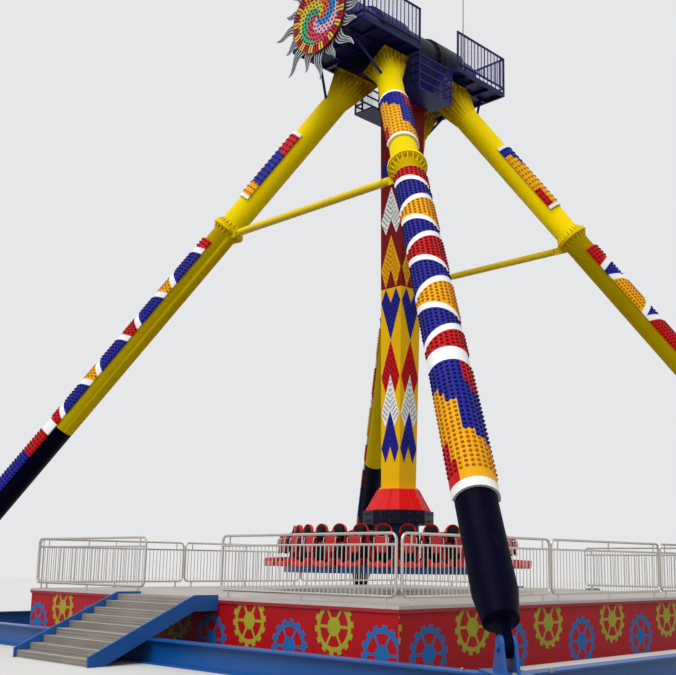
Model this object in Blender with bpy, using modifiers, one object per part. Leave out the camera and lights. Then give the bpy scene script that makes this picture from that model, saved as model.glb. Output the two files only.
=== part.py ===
"""Pendulum ride: two leaning A-frames carry a swinging arm with a spinning ring of outward seats.

Metres, +Z up. The origin is on the ground, below the middle of the swing axis.
The swing axis is parallel to Y, the two A-frames stand at the -Y and +Y sides, and the sun disc
hangs on the -Y side. The long sides of the base lie along X.
"""
import bmesh
import bpy
from math import atan2, cos, pi, radians, sin
from mathutils import Matrix, Vector

# Gaps between pieces that touch and between pieces that turn
GAP = 0.0003
TURNING_GAP = 0.012
SHAFT_CLEARANCE = 0.0004
CUT_OVERRUN = 0.05

# Whole ride
PIVOT_HEIGHT = 16.30
FOOT_HALF_X = 9.94
FOOT_HALF_Y = 8.42
LEG_TOP_X = 0.54
LEG_TOP_Y = 1.27
LEG_TOP_DROP = 0.77

# Base beams, an I section
BEAM_HEIGHT = 0.466
BEAM_WIDTH = 0.30
BEAM_FLANGE = 0.03
BEAM_WEB = 0.024
BEAM_OVERRUN = 0.46

# Foot brackets
FOOT_PIN_RISE = 0.32
FOOT_PIN_RADIUS = 0.06
FOOT_PIN_HEAD = 0.03
FOOT_PIN_CLEARANCE = 0.0005
FOOT_PLATE_LENGTH = 0.86
FOOT_PLATE_WIDTH = 0.56
FOOT_PLATE_THICKNESS = 0.04
CHEEK_THICKNESS = 0.045
CHEEK_RADIUS = 0.17
CHEEK_FOOT = 0.62
FOOT_SIDES = 16

# Legs
LEG_RADIUS = 0.343
LEG_SIDES = 24
LUG_THICKNESS = 0.14
LUG_RADIUS = 0.15
LUG_LENGTH = 0.42
LEG_NECK_RADIUS = 0.27
LEG_NECK_LENGTH = 0.45
LEG_END_PLATE = 0.035
LEG_JOINT_SHARE = 0.303
LEG_FLANGE_RADIUS = 0.475
LEG_FLANGE_THICKNESS = 0.045
FLARE_LENGTH = 0.95
LEG_PLATE_SLOPE = radians(34)
LEG_PLATE_LENGTH = 0.95
LEG_PLATE_WIDTH = 0.95
LEG_PLATE_THICKNESS = 0.04
LEG_PLATE_RIM = 0.045

# Light shells on the outward half of the legs
SHELL_THICKNESS = 0.05
SHELL_TURN = 12
UPPER_SHELL_START = 2.40
UPPER_SHELL_END = 0.95
LOWER_SHELL_START = 0.60
LOWER_SHELL_LENGTH = 9.87

# Tie bars between the flanges of an A-frame
TIE_DROP = 0.24
TIE_RADIUS = 0.10
TIE_SIDES = 12
TIE_TONGUE_LENGTH = 0.34
TIE_TONGUE_HEIGHT = 0.17
TIE_TONGUE_THICKNESS = 0.03
EAR_REACH = 0.42
EAR_THICKNESS = 0.03
EAR_HEIGHT = 0.20

# Swing axle and hub
HUB_RADIUS = 0.85
HUB_RIM_RADIUS = 0.93
HUB_RIM_WIDTH = 0.14
HUB_SIDES = 32
AXLE_RADIUS = 0.20
AXLE_SIDES = 48
AXLE_SEAT_SHARE = 0.85
SADDLE_BOTTOM_DROP = 1.50
SADDLE_WIDTH = 1.00

# Maintenance platforms on the heads
PLATFORM_LIFT = 0.05
PLATFORM_THICKNESS = 0.12
PLATFORM_PLATE = 0.025
PLATFORM_RIB = 0.06
PLATFORM_HALF_X = 1.40
PLATFORM_REACH_Y = 3.00
PLATFORM_RAIL_HEIGHT = 1.12
PLATFORM_RAIL_BAR = 0.045
PLATFORM_RAIL_LOW = 0.12
STRUT_X = 0.62
STRUT_Y = 2.80
STRUT_RADIUS = 0.038
STRUT_LEG_DISTANCE = 1.35

# Drive hoods behind the heads
HOOD_LENGTH = 0.85
HOOD_INSET = 0.10
HOOD_SLOPE = 0.22

# Lightning rod on the rear platform
ROD_X = 1.30
ROD_Y = 1.15
ROD_TOP = 18.90
ROD_RADIUS = 0.018
ROD_FOOT_RADIUS = 0.05
ROD_FOOT_THICKNESS = 0.02

# Sun disc on the front platform
SUN_RADIUS = 1.00
SUN_RIM = 0.045
SUN_THICKNESS = 0.10
SUN_DISH = 0.05
SUN_STANDOFF = 0.22
SUN_DROP = 0.02
SUN_SIDES = 40
RAY_COUNT = 16
RAY_LONG = 0.92
RAY_SHORT = 0.58
RAY_THICKNESS = 0.05
RAY_ROOT_INSET = 0.05
SUN_ARM_X = 0.55
SUN_ARM_SIZE = 0.07

# Swing arm
ARM_LENGTH = 12.40
ARM_TOP_WIDTH = 0.89
ARM_FOOT_WIDTH = 0.66
ARM_FLANGE_THICKNESS = 0.05

# Service baskets on the hub
BASKET_REACH = 1.27
BASKET_HALF_Y = 0.70
BASKET_HEIGHT = 1.05
BASKET_FLOOR = 0.05
BASKET_POST = 0.04
BASKET_RAILS = 4

# Skirt and slewing ring at the arm's foot
SKIRT_TOP_RADIUS = 0.56
SKIRT_FOOT_RADIUS = 0.88
SKIRT_HEIGHT = 0.57
SLEW_RADIUS = 0.95
SLEW_HEIGHT = 0.35
SPINDLE_RADIUS = 0.20
SPINDLE_DEPTH = 0.30
OCTAGON = 8

# Gondola frame
SEATS = 30
SEATS_IN_BANK = 6
SEAT_RING_RADIUS = 2.78
DRUM_RADIUS = 0.56
DRUM_SIDES = 24
FRAME_RING_INSET = 0.06
FRAME_RING_REACH = 0.22
FRAME_RING_HEIGHT = 0.15
FRAME_DROP = 1.12
SPOKES = 10
SPOKE_WIDTH = 0.12
COLLAR_WIDTH = 0.14

# Seats
BENCH_THICKNESS = 0.04
BENCH_INSET = 0.04
BENCH_REACH = 0.20
SEAT_WIDTH = 0.50
SEAT_SHELL = 0.045
SEAT_DEPTH = 0.74
SEAT_BUCKET_HEIGHT = 0.24
BACK_HEIGHT = 0.96
BACK_THICKNESS = 0.10
BACK_HEAD_WIDTH = 0.38
BACK_SHOULDER_SHARE = 0.62
BACK_RECLINE = radians(5)
RESTRAINT_RADIUS = 0.034
RESTRAINT_HALF_WIDTH = 0.15
RESTRAINT_REACH = 0.36
RESTRAINT_LAP_HEIGHT = 0.36
RESTRAINT_SHOULDER_RISE = 0.04
RESTRAINT_BEHIND = 0.05
RESTRAINT_TUBE_SIDES = 4
HINGE_SHARE = 0.74
HINGE_RADIUS = 0.032
HINGE_BLOCK = 0.10

# Deck
DECK_HALF_X = 6.52
DECK_HALF_Y = 6.92
DECK_TOP = 1.22
DECK_THICKNESS = 0.12
FASCIA_THICKNESS = 0.04
FASCIA_INSET = 0.03

# Stairs
STAIR_WIDTH = 2.80
STAIR_RISERS = 9
STAIR_RUN = 0.28
STAIR_SHEET = 0.03
STAIR_LANDING = 0.59
STRINGER_THICKNESS = 0.05
STRINGER_DEPTH = 0.32
STRINGER_LIP = 0.05

# Deck railing
RAIL_INSET = 0.08
RAIL_TUBE = 0.026
RAIL_BOTTOM_RISE = 0.15
RAIL_TOP_RISE = 1.25
RAIL_SECOND_DROP = 0.20
RAIL_CORNER = 0.12
RAIL_CORNER_STEPS = 2
RAIL_TUBE_SIDES = 4
RAIL_STAIR_CLEAR = 0.05
RAIL_CORNER_CLEAR = 0.10
RAIL_PANEL_GAP = 0.07
RAIL_FOOT_RADIUS = 0.024
RAIL_CLIP_HEIGHT = 0.05

# Places worked out from the sizes above
PIN_HEIGHT = BEAM_HEIGHT + FOOT_PLATE_THICKNESS + GAP + FOOT_PIN_RISE
LEG_TOP_Z = PIVOT_HEIGHT - LEG_TOP_DROP
PIN = Vector((FOOT_HALF_X, FOOT_HALF_Y, PIN_HEIGHT))
LEG_TOP = Vector((LEG_TOP_X, LEG_TOP_Y, LEG_TOP_Z))
LEG_LENGTH = (LEG_TOP - PIN).length
ALONG = (LEG_TOP - PIN).normalized()
PLAN = Vector((FOOT_HALF_X - LEG_TOP_X, FOOT_HALF_Y - LEG_TOP_Y, 0)).normalized()
SIDE = Vector((0, 0, 1)).cross(PLAN)
OUTWARD = SIDE.cross(ALONG) * (1 if SIDE.cross(ALONG).dot(PLAN) > 0 else -1)
SLOPE = Vector((cos(LEG_PLATE_SLOPE), 0, sin(LEG_PLATE_SLOPE)))
SLOPE_NORMAL = Vector((sin(LEG_PLATE_SLOPE), 0, -cos(LEG_PLATE_SLOPE)))
FLAT_1 = (SLOPE - ALONG * SLOPE.dot(ALONG)).normalized()
FLAT_2 = ALONG.cross(FLAT_1)
JOINT_DISTANCE = LEG_LENGTH * (1 - LEG_JOINT_SHARE)
HEAD_INNER = LEG_TOP_Y - LEG_PLATE_WIDTH / 2
HEAD_OUTER = LEG_TOP_Y + LEG_PLATE_WIDTH / 2
HEAD_HALF_X = LEG_TOP_X + LEG_PLATE_LENGTH / 2 * cos(LEG_PLATE_SLOPE)
HEAD_SHOULDER_Z = LEG_TOP_Z + LEG_PLATE_LENGTH / 2 * sin(LEG_PLATE_SLOPE)
HEAD_BOTTOM_X = LEG_TOP_X - LEG_PLATE_LENGTH / 2 * cos(LEG_PLATE_SLOPE)
HEAD_BOTTOM_Z = LEG_TOP_Z - LEG_PLATE_LENGTH / 2 * sin(LEG_PLATE_SLOPE)
HUB_HALF = HEAD_INNER - TURNING_GAP
PLATFORM_BOTTOM = HEAD_SHOULDER_Z + PLATFORM_LIFT
PLATFORM_TOP = PLATFORM_BOTTOM + PLATFORM_THICKNESS
ARM_TOP_Z = PIVOT_HEIGHT - SADDLE_BOTTOM_DROP
ARM_FOOT_Z = PIVOT_HEIGHT - ARM_LENGTH
SKIRT_FOOT_Z = ARM_FOOT_Z - SKIRT_HEIGHT
SLEW_TOP_Z = SKIRT_FOOT_Z - TURNING_GAP
SLEW_FOOT_Z = SLEW_TOP_Z - SLEW_HEIGHT
FRAME_TOP_Z = SLEW_FOOT_Z - FRAME_DROP
SEAT_FLOOR_Z = FRAME_TOP_Z + GAP + BENCH_THICKNESS
FRAME_RING_INNER = SEAT_RING_RADIUS - FRAME_RING_INSET
FRAME_RING_OUTER = SEAT_RING_RADIUS + FRAME_RING_REACH
BENCH_INNER = SEAT_RING_RADIUS - BENCH_INSET
BENCH_OUTER = SEAT_RING_RADIUS + BENCH_REACH
STAIR_RISE = DECK_TOP / STAIR_RISERS
DECK_BOTTOM = DECK_TOP - DECK_THICKNESS
BANKS = SEATS // SEATS_IN_BANK
SEAT_ANGLE = 2 * pi / SEATS
LEAN = Matrix.Rotation(-BACK_RECLINE, 4, "Y")

RIDE = bpy.data.collections.new("pendulum_ride")
MATERIALS = {}


def clear_scene():
    """Removes every object, so that the ride starts in an empty file."""
    for old in list(bpy.data.objects):
        bpy.data.objects.remove(old, do_unlink=True)
    bpy.context.scene.collection.children.link(RIDE)


def paint(thing, name, colour, roughness, metallic):
    """Gives a piece its material, made once for each name."""
    if name not in MATERIALS:
        material = bpy.data.materials.new(name)
        material.use_nodes = True
        shader = material.node_tree.nodes["Principled BSDF"]
        shader.inputs["Base Color"].default_value = (*colour, 1)
        shader.inputs["Roughness"].default_value = roughness
        shader.inputs["Metallic"].default_value = metallic
        material.diffuse_color = (*colour, 1)
        MATERIALS[name] = material
    thing.data.materials.clear()
    thing.data.materials.append(MATERIALS[name])
    return thing


def yellow(thing):
    return paint(thing, "leg_yellow", (0.88, 0.68, 0.0), 0.35, 0.0)


def navy(thing):
    return paint(thing, "head_navy", (0.010, 0.010, 0.075), 0.4, 0.0)


def blue(thing):
    return paint(thing, "beam_blue", (0.004, 0.10, 0.40), 0.4, 0.0)


def red(thing):
    return paint(thing, "seat_red", (0.75, 0.02, 0.015), 0.35, 0.0)


def light_blue(thing):
    return paint(thing, "light_shell_blue", (0.035, 0.035, 0.38), 0.35, 0.0)


def arm_gold(thing):
    return paint(thing, "arm_gold", (0.78, 0.45, 0.0), 0.35, 0.0)


def silver(thing):
    return paint(thing, "sun_silver", (0.32, 0.33, 0.36), 0.35, 0.6)


def steel(thing):
    return paint(thing, "stainless_tube", (0.42, 0.40, 0.37), 0.25, 1.0)


def pale(thing):
    return paint(thing, "deck_plate", (0.45, 0.42, 0.38), 0.6, 0.2)


def fascia_red(thing):
    return paint(thing, "fascia_red", (0.36, 0.01, 0.015), 0.5, 0.0)


def add_object(name, mesh):
    """Links a mesh as a new object of the ride."""
    thing = bpy.data.objects.new(name, mesh)
    RIDE.objects.link(thing)
    return thing


def from_bmesh(name, shape):
    """Turns a bmesh into an object of the ride."""
    mesh = bpy.data.meshes.new(name)
    shape.to_mesh(mesh)
    shape.free()
    return add_object(name, mesh)


def evaluated_copy(thing):
    """Gives the mesh of an object with its modifiers, or of a curve, with its doubles merged."""
    seen = thing.evaluated_get(bpy.context.evaluated_depsgraph_get())
    mesh = bpy.data.meshes.new_from_object(seen)
    shape = bmesh.new()
    shape.from_mesh(mesh)
    bmesh.ops.remove_doubles(shape, verts=shape.verts, dist=0.00001)
    shape.to_mesh(mesh)
    shape.free()
    return mesh


def make_real(thing):
    """Replaces an object's mesh by the evaluated one, and drops its modifiers."""
    mesh = evaluated_copy(thing)
    thing.modifiers.clear()
    thing.data = mesh
    return thing


def curve_to_mesh(name, curve):
    """Makes a mesh object of a curve, and removes the curve."""
    guide = bpy.data.objects.new(name, curve)
    RIDE.objects.link(guide)
    bpy.context.view_layer.update()
    mesh = evaluated_copy(guide)
    bpy.data.objects.remove(guide)
    bpy.data.curves.remove(curve)
    shape = bmesh.new()
    shape.from_mesh(mesh)
    bmesh.ops.recalc_face_normals(shape, faces=shape.faces)
    shape.to_mesh(mesh)
    shape.free()
    return add_object(name, mesh)


def box(name, low, high):
    """A box between two corners."""
    size = [b - a for a, b in zip(low, high)]
    middle = [(a + b) / 2 for a, b in zip(low, high)]
    shape = bmesh.new()
    bmesh.ops.create_cube(shape, size=1, matrix=Matrix.Translation(middle) @ Matrix.Diagonal((*size, 1)))
    return from_bmesh(name, shape)


def facing(start, end):
    """The frame at the middle of a line, with its Z along the line."""
    direction = Vector(end) - Vector(start)
    turn = direction.to_track_quat("Z", "Y").to_matrix().to_4x4()
    return Matrix.Translation((Vector(start) + Vector(end)) / 2) @ turn


def bar(name, start, end, radius, sides, end_radius=None):
    """A round bar or a cone between two points."""
    shape = bmesh.new()
    bmesh.ops.create_cone(shape, cap_ends=True, segments=sides, radius1=radius,
                          radius2=radius if end_radius is None else end_radius,
                          depth=(Vector(end) - Vector(start)).length, matrix=facing(start, end))
    return from_bmesh(name, shape)


def bent_tube(name, points, radius, sides, closed=False):
    """A tube along a line of points, with an even number of sides from four up."""
    curve = bpy.data.curves.new(name, "CURVE")
    curve.dimensions = "3D"
    curve.bevel_depth = radius
    curve.bevel_resolution = sides // 2 - 2
    curve.use_fill_caps = not closed
    line = curve.splines.new("POLY")
    line.points.add(len(points) - 1)
    for place, point in zip(line.points, points):
        place.co = (*point, 1)
    line.use_cyclic_u = closed
    return curve_to_mesh(name, curve)


def plate(name, outline, thickness, frame, holes=()):
    """A flat plate: its outline lies in the frame's XY plane and its thickness is centred on it."""
    curve = bpy.data.curves.new(name, "CURVE")
    curve.dimensions = "2D"
    curve.fill_mode = "BOTH"
    curve.extrude = thickness / 2
    for ring in (outline, *holes):
        line = curve.splines.new("POLY")
        line.points.add(len(ring) - 1)
        for place, point in zip(line.points, ring):
            place.co = (point[0], point[1], 0, 1)
        line.use_cyclic_u = True
    thing = curve_to_mesh(name, curve)
    thing.data.transform(frame)
    if frame.determinant() < 0:
        thing.data.flip_normals()
    return thing


def loft(name, rings):
    """A closed solid through rings of points with equal counts."""
    shape = bmesh.new()
    loops = [[shape.verts.new(point) for point in ring] for ring in rings]
    for lower, upper in zip(loops, loops[1:]):
        for here in range(len(lower)):
            after = (here + 1) % len(lower)
            shape.faces.new((lower[here], lower[after], upper[after], upper[here]))
    shape.faces.new(loops[0])
    shape.faces.new(loops[-1])
    bmesh.ops.recalc_face_normals(shape, faces=shape.faces)
    return from_bmesh(name, shape)


def combine(thing, others, operation="UNION"):
    """Joins other solids to a piece, or cuts them from it, and removes them."""
    for other in others:
        step = thing.modifiers.new(operation, "BOOLEAN")
        step.operation = operation
        step.solver = "EXACT"
        step.object = other
    bpy.context.view_layer.update()
    make_real(thing)
    for other in others:
        bpy.data.objects.remove(other, do_unlink=True)
    return thing


def gather(name, pieces):
    """Puts separate solids into one object, to be joined or cut in one step."""
    shape = bmesh.new()
    for piece in pieces:
        shape.from_mesh(piece.data)
        bpy.data.objects.remove(piece, do_unlink=True)
    return from_bmesh(name, shape)


def circle(radius, sides, centre=(0, 0), start=0.0):
    """The points of a circle, anticlockwise."""
    return [(centre[0] + radius * cos(start + 2 * pi * k / sides),
             centre[1] + radius * sin(start + 2 * pi * k / sides)) for k in range(sides)]


def arc(radius, start, end, steps, centre=(0, 0)):
    """The points of an arc, both ends included."""
    return [(centre[0] + radius * cos(start + (end - start) * k / steps),
             centre[1] + radius * sin(start + (end - start) * k / steps)) for k in range(steps + 1)]


def axes_frame(x, y, z, origin):
    """A frame with the given axes and origin."""
    frame = Matrix((x, y, z)).transposed().to_4x4()
    frame.translation = origin
    return frame


def set_origin(thing, place, parent=None):
    """Moves an object's origin to a place without moving its solid, and parents it."""
    thing.data.transform(Matrix.Translation(-Vector(place)))
    thing.location = Vector(place) - (parent.matrix_world.translation if parent else Vector())
    thing.parent = parent
    return thing


def mirrored(source, name, sign_x, sign_y):
    """A copy of a piece in another quarter of the ride, with its own mesh."""
    mesh = source.data.copy()
    mesh.transform(Matrix.Diagonal((sign_x, sign_y, 1, 1)))
    if sign_x * sign_y < 0:
        mesh.flip_normals()
    return add_object(name, mesh)


def quarters(source, name, origin):
    """Places a piece in all four quarters. The source is the piece at +X and +Y."""
    for end, sign_y in (("front", -1), ("rear", 1)):
        for hand, sign_x in (("left", -1), ("right", 1)):
            copy = mirrored(source, f"{name}_{end}_{hand}", sign_x, sign_y)
            set_origin(copy, (sign_x * origin.x, sign_y * origin.y, origin.z))
    bpy.data.objects.remove(source, do_unlink=True)


def both_ends(source, name, origin):
    """Places a piece at the front and at the rear. The source is the piece at +Y."""
    for end, sign_y in (("front", -1), ("rear", 1)):
        copy = mirrored(source, f"{name}_{end}", 1, sign_y)
        set_origin(copy, (origin[0], sign_y * origin[1], origin[2]))
    bpy.data.objects.remove(source, do_unlink=True)


# Base frame and feet

def make_beams():
    """Four I beams on the ground, with the feet on their corners."""
    edge = BEAM_WIDTH / 2
    web = BEAM_WEB / 2
    low = BEAM_FLANGE
    high = BEAM_HEIGHT - BEAM_FLANGE
    section = [(-edge, 0), (edge, 0), (edge, low), (web, low), (web, high), (edge, high),
               (edge, BEAM_HEIGHT), (-edge, BEAM_HEIGHT), (-edge, high), (-web, high), (-web, low), (-edge, low)]
    long_beam = 2 * (FOOT_HALF_X + BEAM_OVERRUN)
    short_beam = 2 * (FOOT_HALF_Y - BEAM_WIDTH / 2 - GAP)
    for name, sign in (("beam_front", -1), ("beam_rear", 1)):
        frame = axes_frame((0, 1, 0), (0, 0, 1), (1, 0, 0), (0, sign * FOOT_HALF_Y, 0))
        blue(set_origin(plate(name, section, long_beam, frame), (0, sign * FOOT_HALF_Y, 0)))
    for name, sign in (("beam_left", -1), ("beam_right", 1)):
        frame = axes_frame((-1, 0, 0), (0, 0, 1), (0, 1, 0), (sign * FOOT_HALF_X, 0, 0))
        blue(set_origin(plate(name, section, short_beam, frame), (sign * FOOT_HALF_X, 0, 0)))


def make_feet():
    """A foot bracket: base plate, two cheeks and the pin that the leg's lug turns on."""
    floor = BEAM_HEIGHT + GAP
    top = floor + FOOT_PLATE_THICKNESS
    half = LUG_THICKNESS / 2 + GAP
    frame = axes_frame(PLAN, SIDE, (0, 0, 1), (FOOT_HALF_X, FOOT_HALF_Y, floor + FOOT_PLATE_THICKNESS / 2))
    long_half = FOOT_PLATE_LENGTH / 2
    wide_half = FOOT_PLATE_WIDTH / 2
    foot = plate("foot", [(-long_half, -wide_half), (long_half, -wide_half), (long_half, wide_half),
                          (-long_half, wide_half)], FOOT_PLATE_THICKNESS, frame)
    drop = PIN_HEIGHT - top + FOOT_PLATE_THICKNESS / 2
    outline = [(-CHEEK_FOOT / 2, -drop), (CHEEK_FOOT / 2, -drop), *arc(CHEEK_RADIUS, 0.0, pi, FOOT_SIDES // 2)]
    cheeks = []
    for sign in (-1, 1):
        centre = PIN + SIDE * sign * (half + CHEEK_THICKNESS / 2)
        cheeks.append(plate("cheek", outline, CHEEK_THICKNESS, axes_frame(PLAN, (0, 0, 1), -SIDE, centre)))
    reach = half + CHEEK_THICKNESS + FOOT_PIN_HEAD
    pin = bar("pin", PIN - SIDE * reach, PIN + SIDE * reach, FOOT_PIN_RADIUS, FOOT_SIDES)
    combine(foot, [gather("cheeks", cheeks), pin])
    blue(foot)
    quarters(foot, "foot", Vector((FOOT_HALF_X, FOOT_HALF_Y, floor)))


# Legs

def leg_ring(distance, radius, sides=LEG_SIDES):
    """A ring round the leg, at a distance from its foot pin."""
    centre = PIN + ALONG * distance
    return [centre + radius * (cos(2 * pi * k / sides) * FLAT_1 + sin(2 * pi * k / sides) * FLAT_2)
            for k in range(sides)]


def plate_ring(lift, half_length, half_width):
    """A rectangle on the head's sloping seat, with one point for each side of the leg."""
    turn = 1 if FLAT_2.y > 0 else -1
    centre = LEG_TOP + SLOPE_NORMAL * (GAP + lift)
    ring = []
    for k in range(LEG_SIDES):
        angle = 2 * pi * k / LEG_SIDES
        along = max(-1, min(1, cos(angle) * 2 ** 0.5)) * half_length
        across = max(-1, min(1, sin(angle) * 2 ** 0.5)) * half_width * turn
        ring.append(centre + SLOPE * along + Vector((0, across, 0)))
    return ring


def make_legs():
    """A leg: lug, neck, tube with a bolted flange, flared top and head plate."""
    start = LUG_LENGTH
    flange = JOINT_DISTANCE - LEG_FLANGE_THICKNESS
    half_length = LEG_PLATE_LENGTH / 2
    half_width = LEG_PLATE_WIDTH / 2
    rings = [leg_ring(start, LEG_NECK_RADIUS),
             leg_ring(start + LEG_END_PLATE, LEG_NECK_RADIUS),
             leg_ring(start + LEG_END_PLATE + LEG_NECK_LENGTH, LEG_RADIUS),
             leg_ring(flange, LEG_RADIUS),
             leg_ring(flange, LEG_FLANGE_RADIUS),
             leg_ring(flange + 2 * LEG_FLANGE_THICKNESS, LEG_FLANGE_RADIUS),
             leg_ring(flange + 2 * LEG_FLANGE_THICKNESS, LEG_RADIUS),
             leg_ring(LEG_LENGTH - FLARE_LENGTH, LEG_RADIUS),
             plate_ring(LEG_PLATE_THICKNESS, half_length - LEG_PLATE_RIM, half_width - LEG_PLATE_RIM),
             plate_ring(LEG_PLATE_THICKNESS, half_length, half_width),
             plate_ring(0, half_length, half_width)]
    leg = loft("leg", rings)
    hole_radius = (FOOT_PIN_RADIUS + FOOT_PIN_CLEARANCE) / cos(pi / FOOT_SIDES)
    outline = [(LUG_RADIUS, start + LEG_END_PLATE / 2), (-LUG_RADIUS, start + LEG_END_PLATE / 2),
               *arc(LUG_RADIUS, pi, 2 * pi, FOOT_SIDES // 2)]
    lug = plate("lug", outline, LUG_THICKNESS, axes_frame(OUTWARD, ALONG, OUTWARD.cross(ALONG), PIN),
                [circle(hole_radius, FOOT_SIDES)])
    combine(leg, [lug, make_ear()])
    yellow(leg)
    quarters(leg, "leg", PIN)


def tie_place():
    """The point on the leg's axis at the height of the tie bar."""
    drop = TIE_DROP / ALONG.z
    return PIN + ALONG * (JOINT_DISTANCE - drop)


def leg_half_x():
    """Half the leg's width along X, measured level."""
    return LEG_RADIUS / (1 - ALONG.x ** 2) ** 0.5


def make_ear():
    """The ear on the leg's inner side that holds the tie bar."""
    place = tie_place()
    inner = place.x - leg_half_x() - EAR_REACH
    low = (inner, place.y - EAR_THICKNESS / 2, place.z - EAR_HEIGHT / 2)
    high = (place.x, place.y + EAR_THICKNESS / 2, place.z + EAR_HEIGHT / 2)
    return box("ear", low, high)


def make_ties():
    """A tie bar: a tube with a flat tongue at each end, bolted beside the ears."""
    place = tie_place()
    inner = place.x - leg_half_x() - EAR_REACH
    tube_end = inner - GAP
    centre_y = place.y
    tube = bar("tie", (-tube_end, centre_y, place.z), (tube_end, centre_y, place.z), TIE_RADIUS, TIE_SIDES)
    tongues = []
    for sign in (-1, 1):
        low_x = sign * (tube_end - TIE_TONGUE_LENGTH / 2)
        high_x = sign * (tube_end + TIE_TONGUE_LENGTH / 2)
        edge = centre_y + EAR_THICKNESS / 2 + GAP
        tongues.append(box("tongue", (min(low_x, high_x), edge, place.z - TIE_TONGUE_HEIGHT / 2),
                           (max(low_x, high_x), edge + TIE_TONGUE_THICKNESS, place.z + TIE_TONGUE_HEIGHT / 2)))
    combine(tube, [gather("tongues", tongues)])
    yellow(tube)
    both_ends(tube, "tie", (0, centre_y, place.z))


def shell_section(distance, first, steps):
    """The closed section of a light shell round half of the leg."""
    scale = 1 + GAP / (LEG_RADIUS * cos(pi / LEG_SIDES))
    inner = leg_ring(distance, LEG_RADIUS * scale)
    outer = leg_ring(distance, LEG_RADIUS * scale + SHELL_THICKNESS)
    picks = [(first + k) % LEG_SIDES for k in range(steps + 1)]
    return [outer[k] for k in picks] + [inner[k] for k in reversed(picks)]


def make_shells():
    """Light shells on the outward half of each leg, above and below the flange."""
    outward = atan2(OUTWARD.dot(FLAT_2), OUTWARD.dot(FLAT_1))
    middle = round(outward / (2 * pi / LEG_SIDES))
    first = middle - SHELL_TURN // 2
    upper = (JOINT_DISTANCE + UPPER_SHELL_END, LEG_LENGTH - UPPER_SHELL_START)
    lower = (JOINT_DISTANCE - LOWER_SHELL_START - LOWER_SHELL_LENGTH, JOINT_DISTANCE - LOWER_SHELL_START)
    for name, (start, end) in (("lights_upper", upper), ("lights_lower", lower)):
        shell = loft(name, [shell_section(start, first, SHELL_TURN), shell_section(end, first, SHELL_TURN)])
        light_blue(shell)
        quarters(shell, name, PIN + ALONG * start)


# Heads, platforms and sun

def make_heads():
    """A head: sloping seats for two leg plates, and a round bearing housing over them."""
    top = arc(HEAD_HALF_X, 0.0, pi, 20, (0, PIVOT_HEIGHT))
    outline = [(-HEAD_BOTTOM_X, HEAD_BOTTOM_Z), (HEAD_BOTTOM_X, HEAD_BOTTOM_Z), (HEAD_HALF_X, HEAD_SHOULDER_Z),
               *top, (-HEAD_HALF_X, HEAD_SHOULDER_Z)]
    bore_radius = (AXLE_RADIUS + SHAFT_CLEARANCE) / cos(pi / AXLE_SIDES)
    frame = axes_frame((1, 0, 0), (0, 0, 1), (0, -1, 0), (0, LEG_TOP_Y, 0))
    head = plate("head", outline, LEG_PLATE_WIDTH, frame,
                 [circle(bore_radius, AXLE_SIDES, (0, PIVOT_HEIGHT))])
    navy(head)
    both_ends(head, "head", (0, LEG_TOP_Y, PIVOT_HEIGHT))


def make_hoods():
    """A rounded hood over the drive, on the outer face of each head."""
    floor = PLATFORM_TOP + GAP
    rings = []
    for depth, inset in ((0, HOOD_INSET), (HOOD_LENGTH - HOOD_SLOPE, HOOD_INSET), (HOOD_LENGTH, HOOD_INSET + HOOD_SLOPE)):
        radius = HEAD_HALF_X - inset
        y = HEAD_OUTER + GAP + depth
        profile = [(radius, floor), *arc(radius, 0.0, pi, 12, (0, PIVOT_HEIGHT)), (-radius, floor)]
        rings.append([(x, y, z) for x, z in profile])
    hood = loft("hood", rings)
    navy(hood)
    both_ends(hood, "drive_hood", (0, HEAD_OUTER, floor))


def pocket_grid(low, high, columns, rows):
    """Cutters for the open cells under a platform, between its ribs."""
    width = (high[0] - low[0] - PLATFORM_RIB * (columns + 1)) / columns
    depth = (high[1] - low[1] - PLATFORM_RIB * (rows + 1)) / rows
    cells = []
    for column in range(columns):
        for row in range(rows):
            x = low[0] + PLATFORM_RIB + column * (width + PLATFORM_RIB)
            y = low[1] + PLATFORM_RIB + row * (depth + PLATFORM_RIB)
            cells.append(box("cell", (x, y, PLATFORM_BOTTOM - CUT_OVERRUN),
                             (x + width, y + depth, PLATFORM_TOP - PLATFORM_PLATE)))
    return cells


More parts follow.
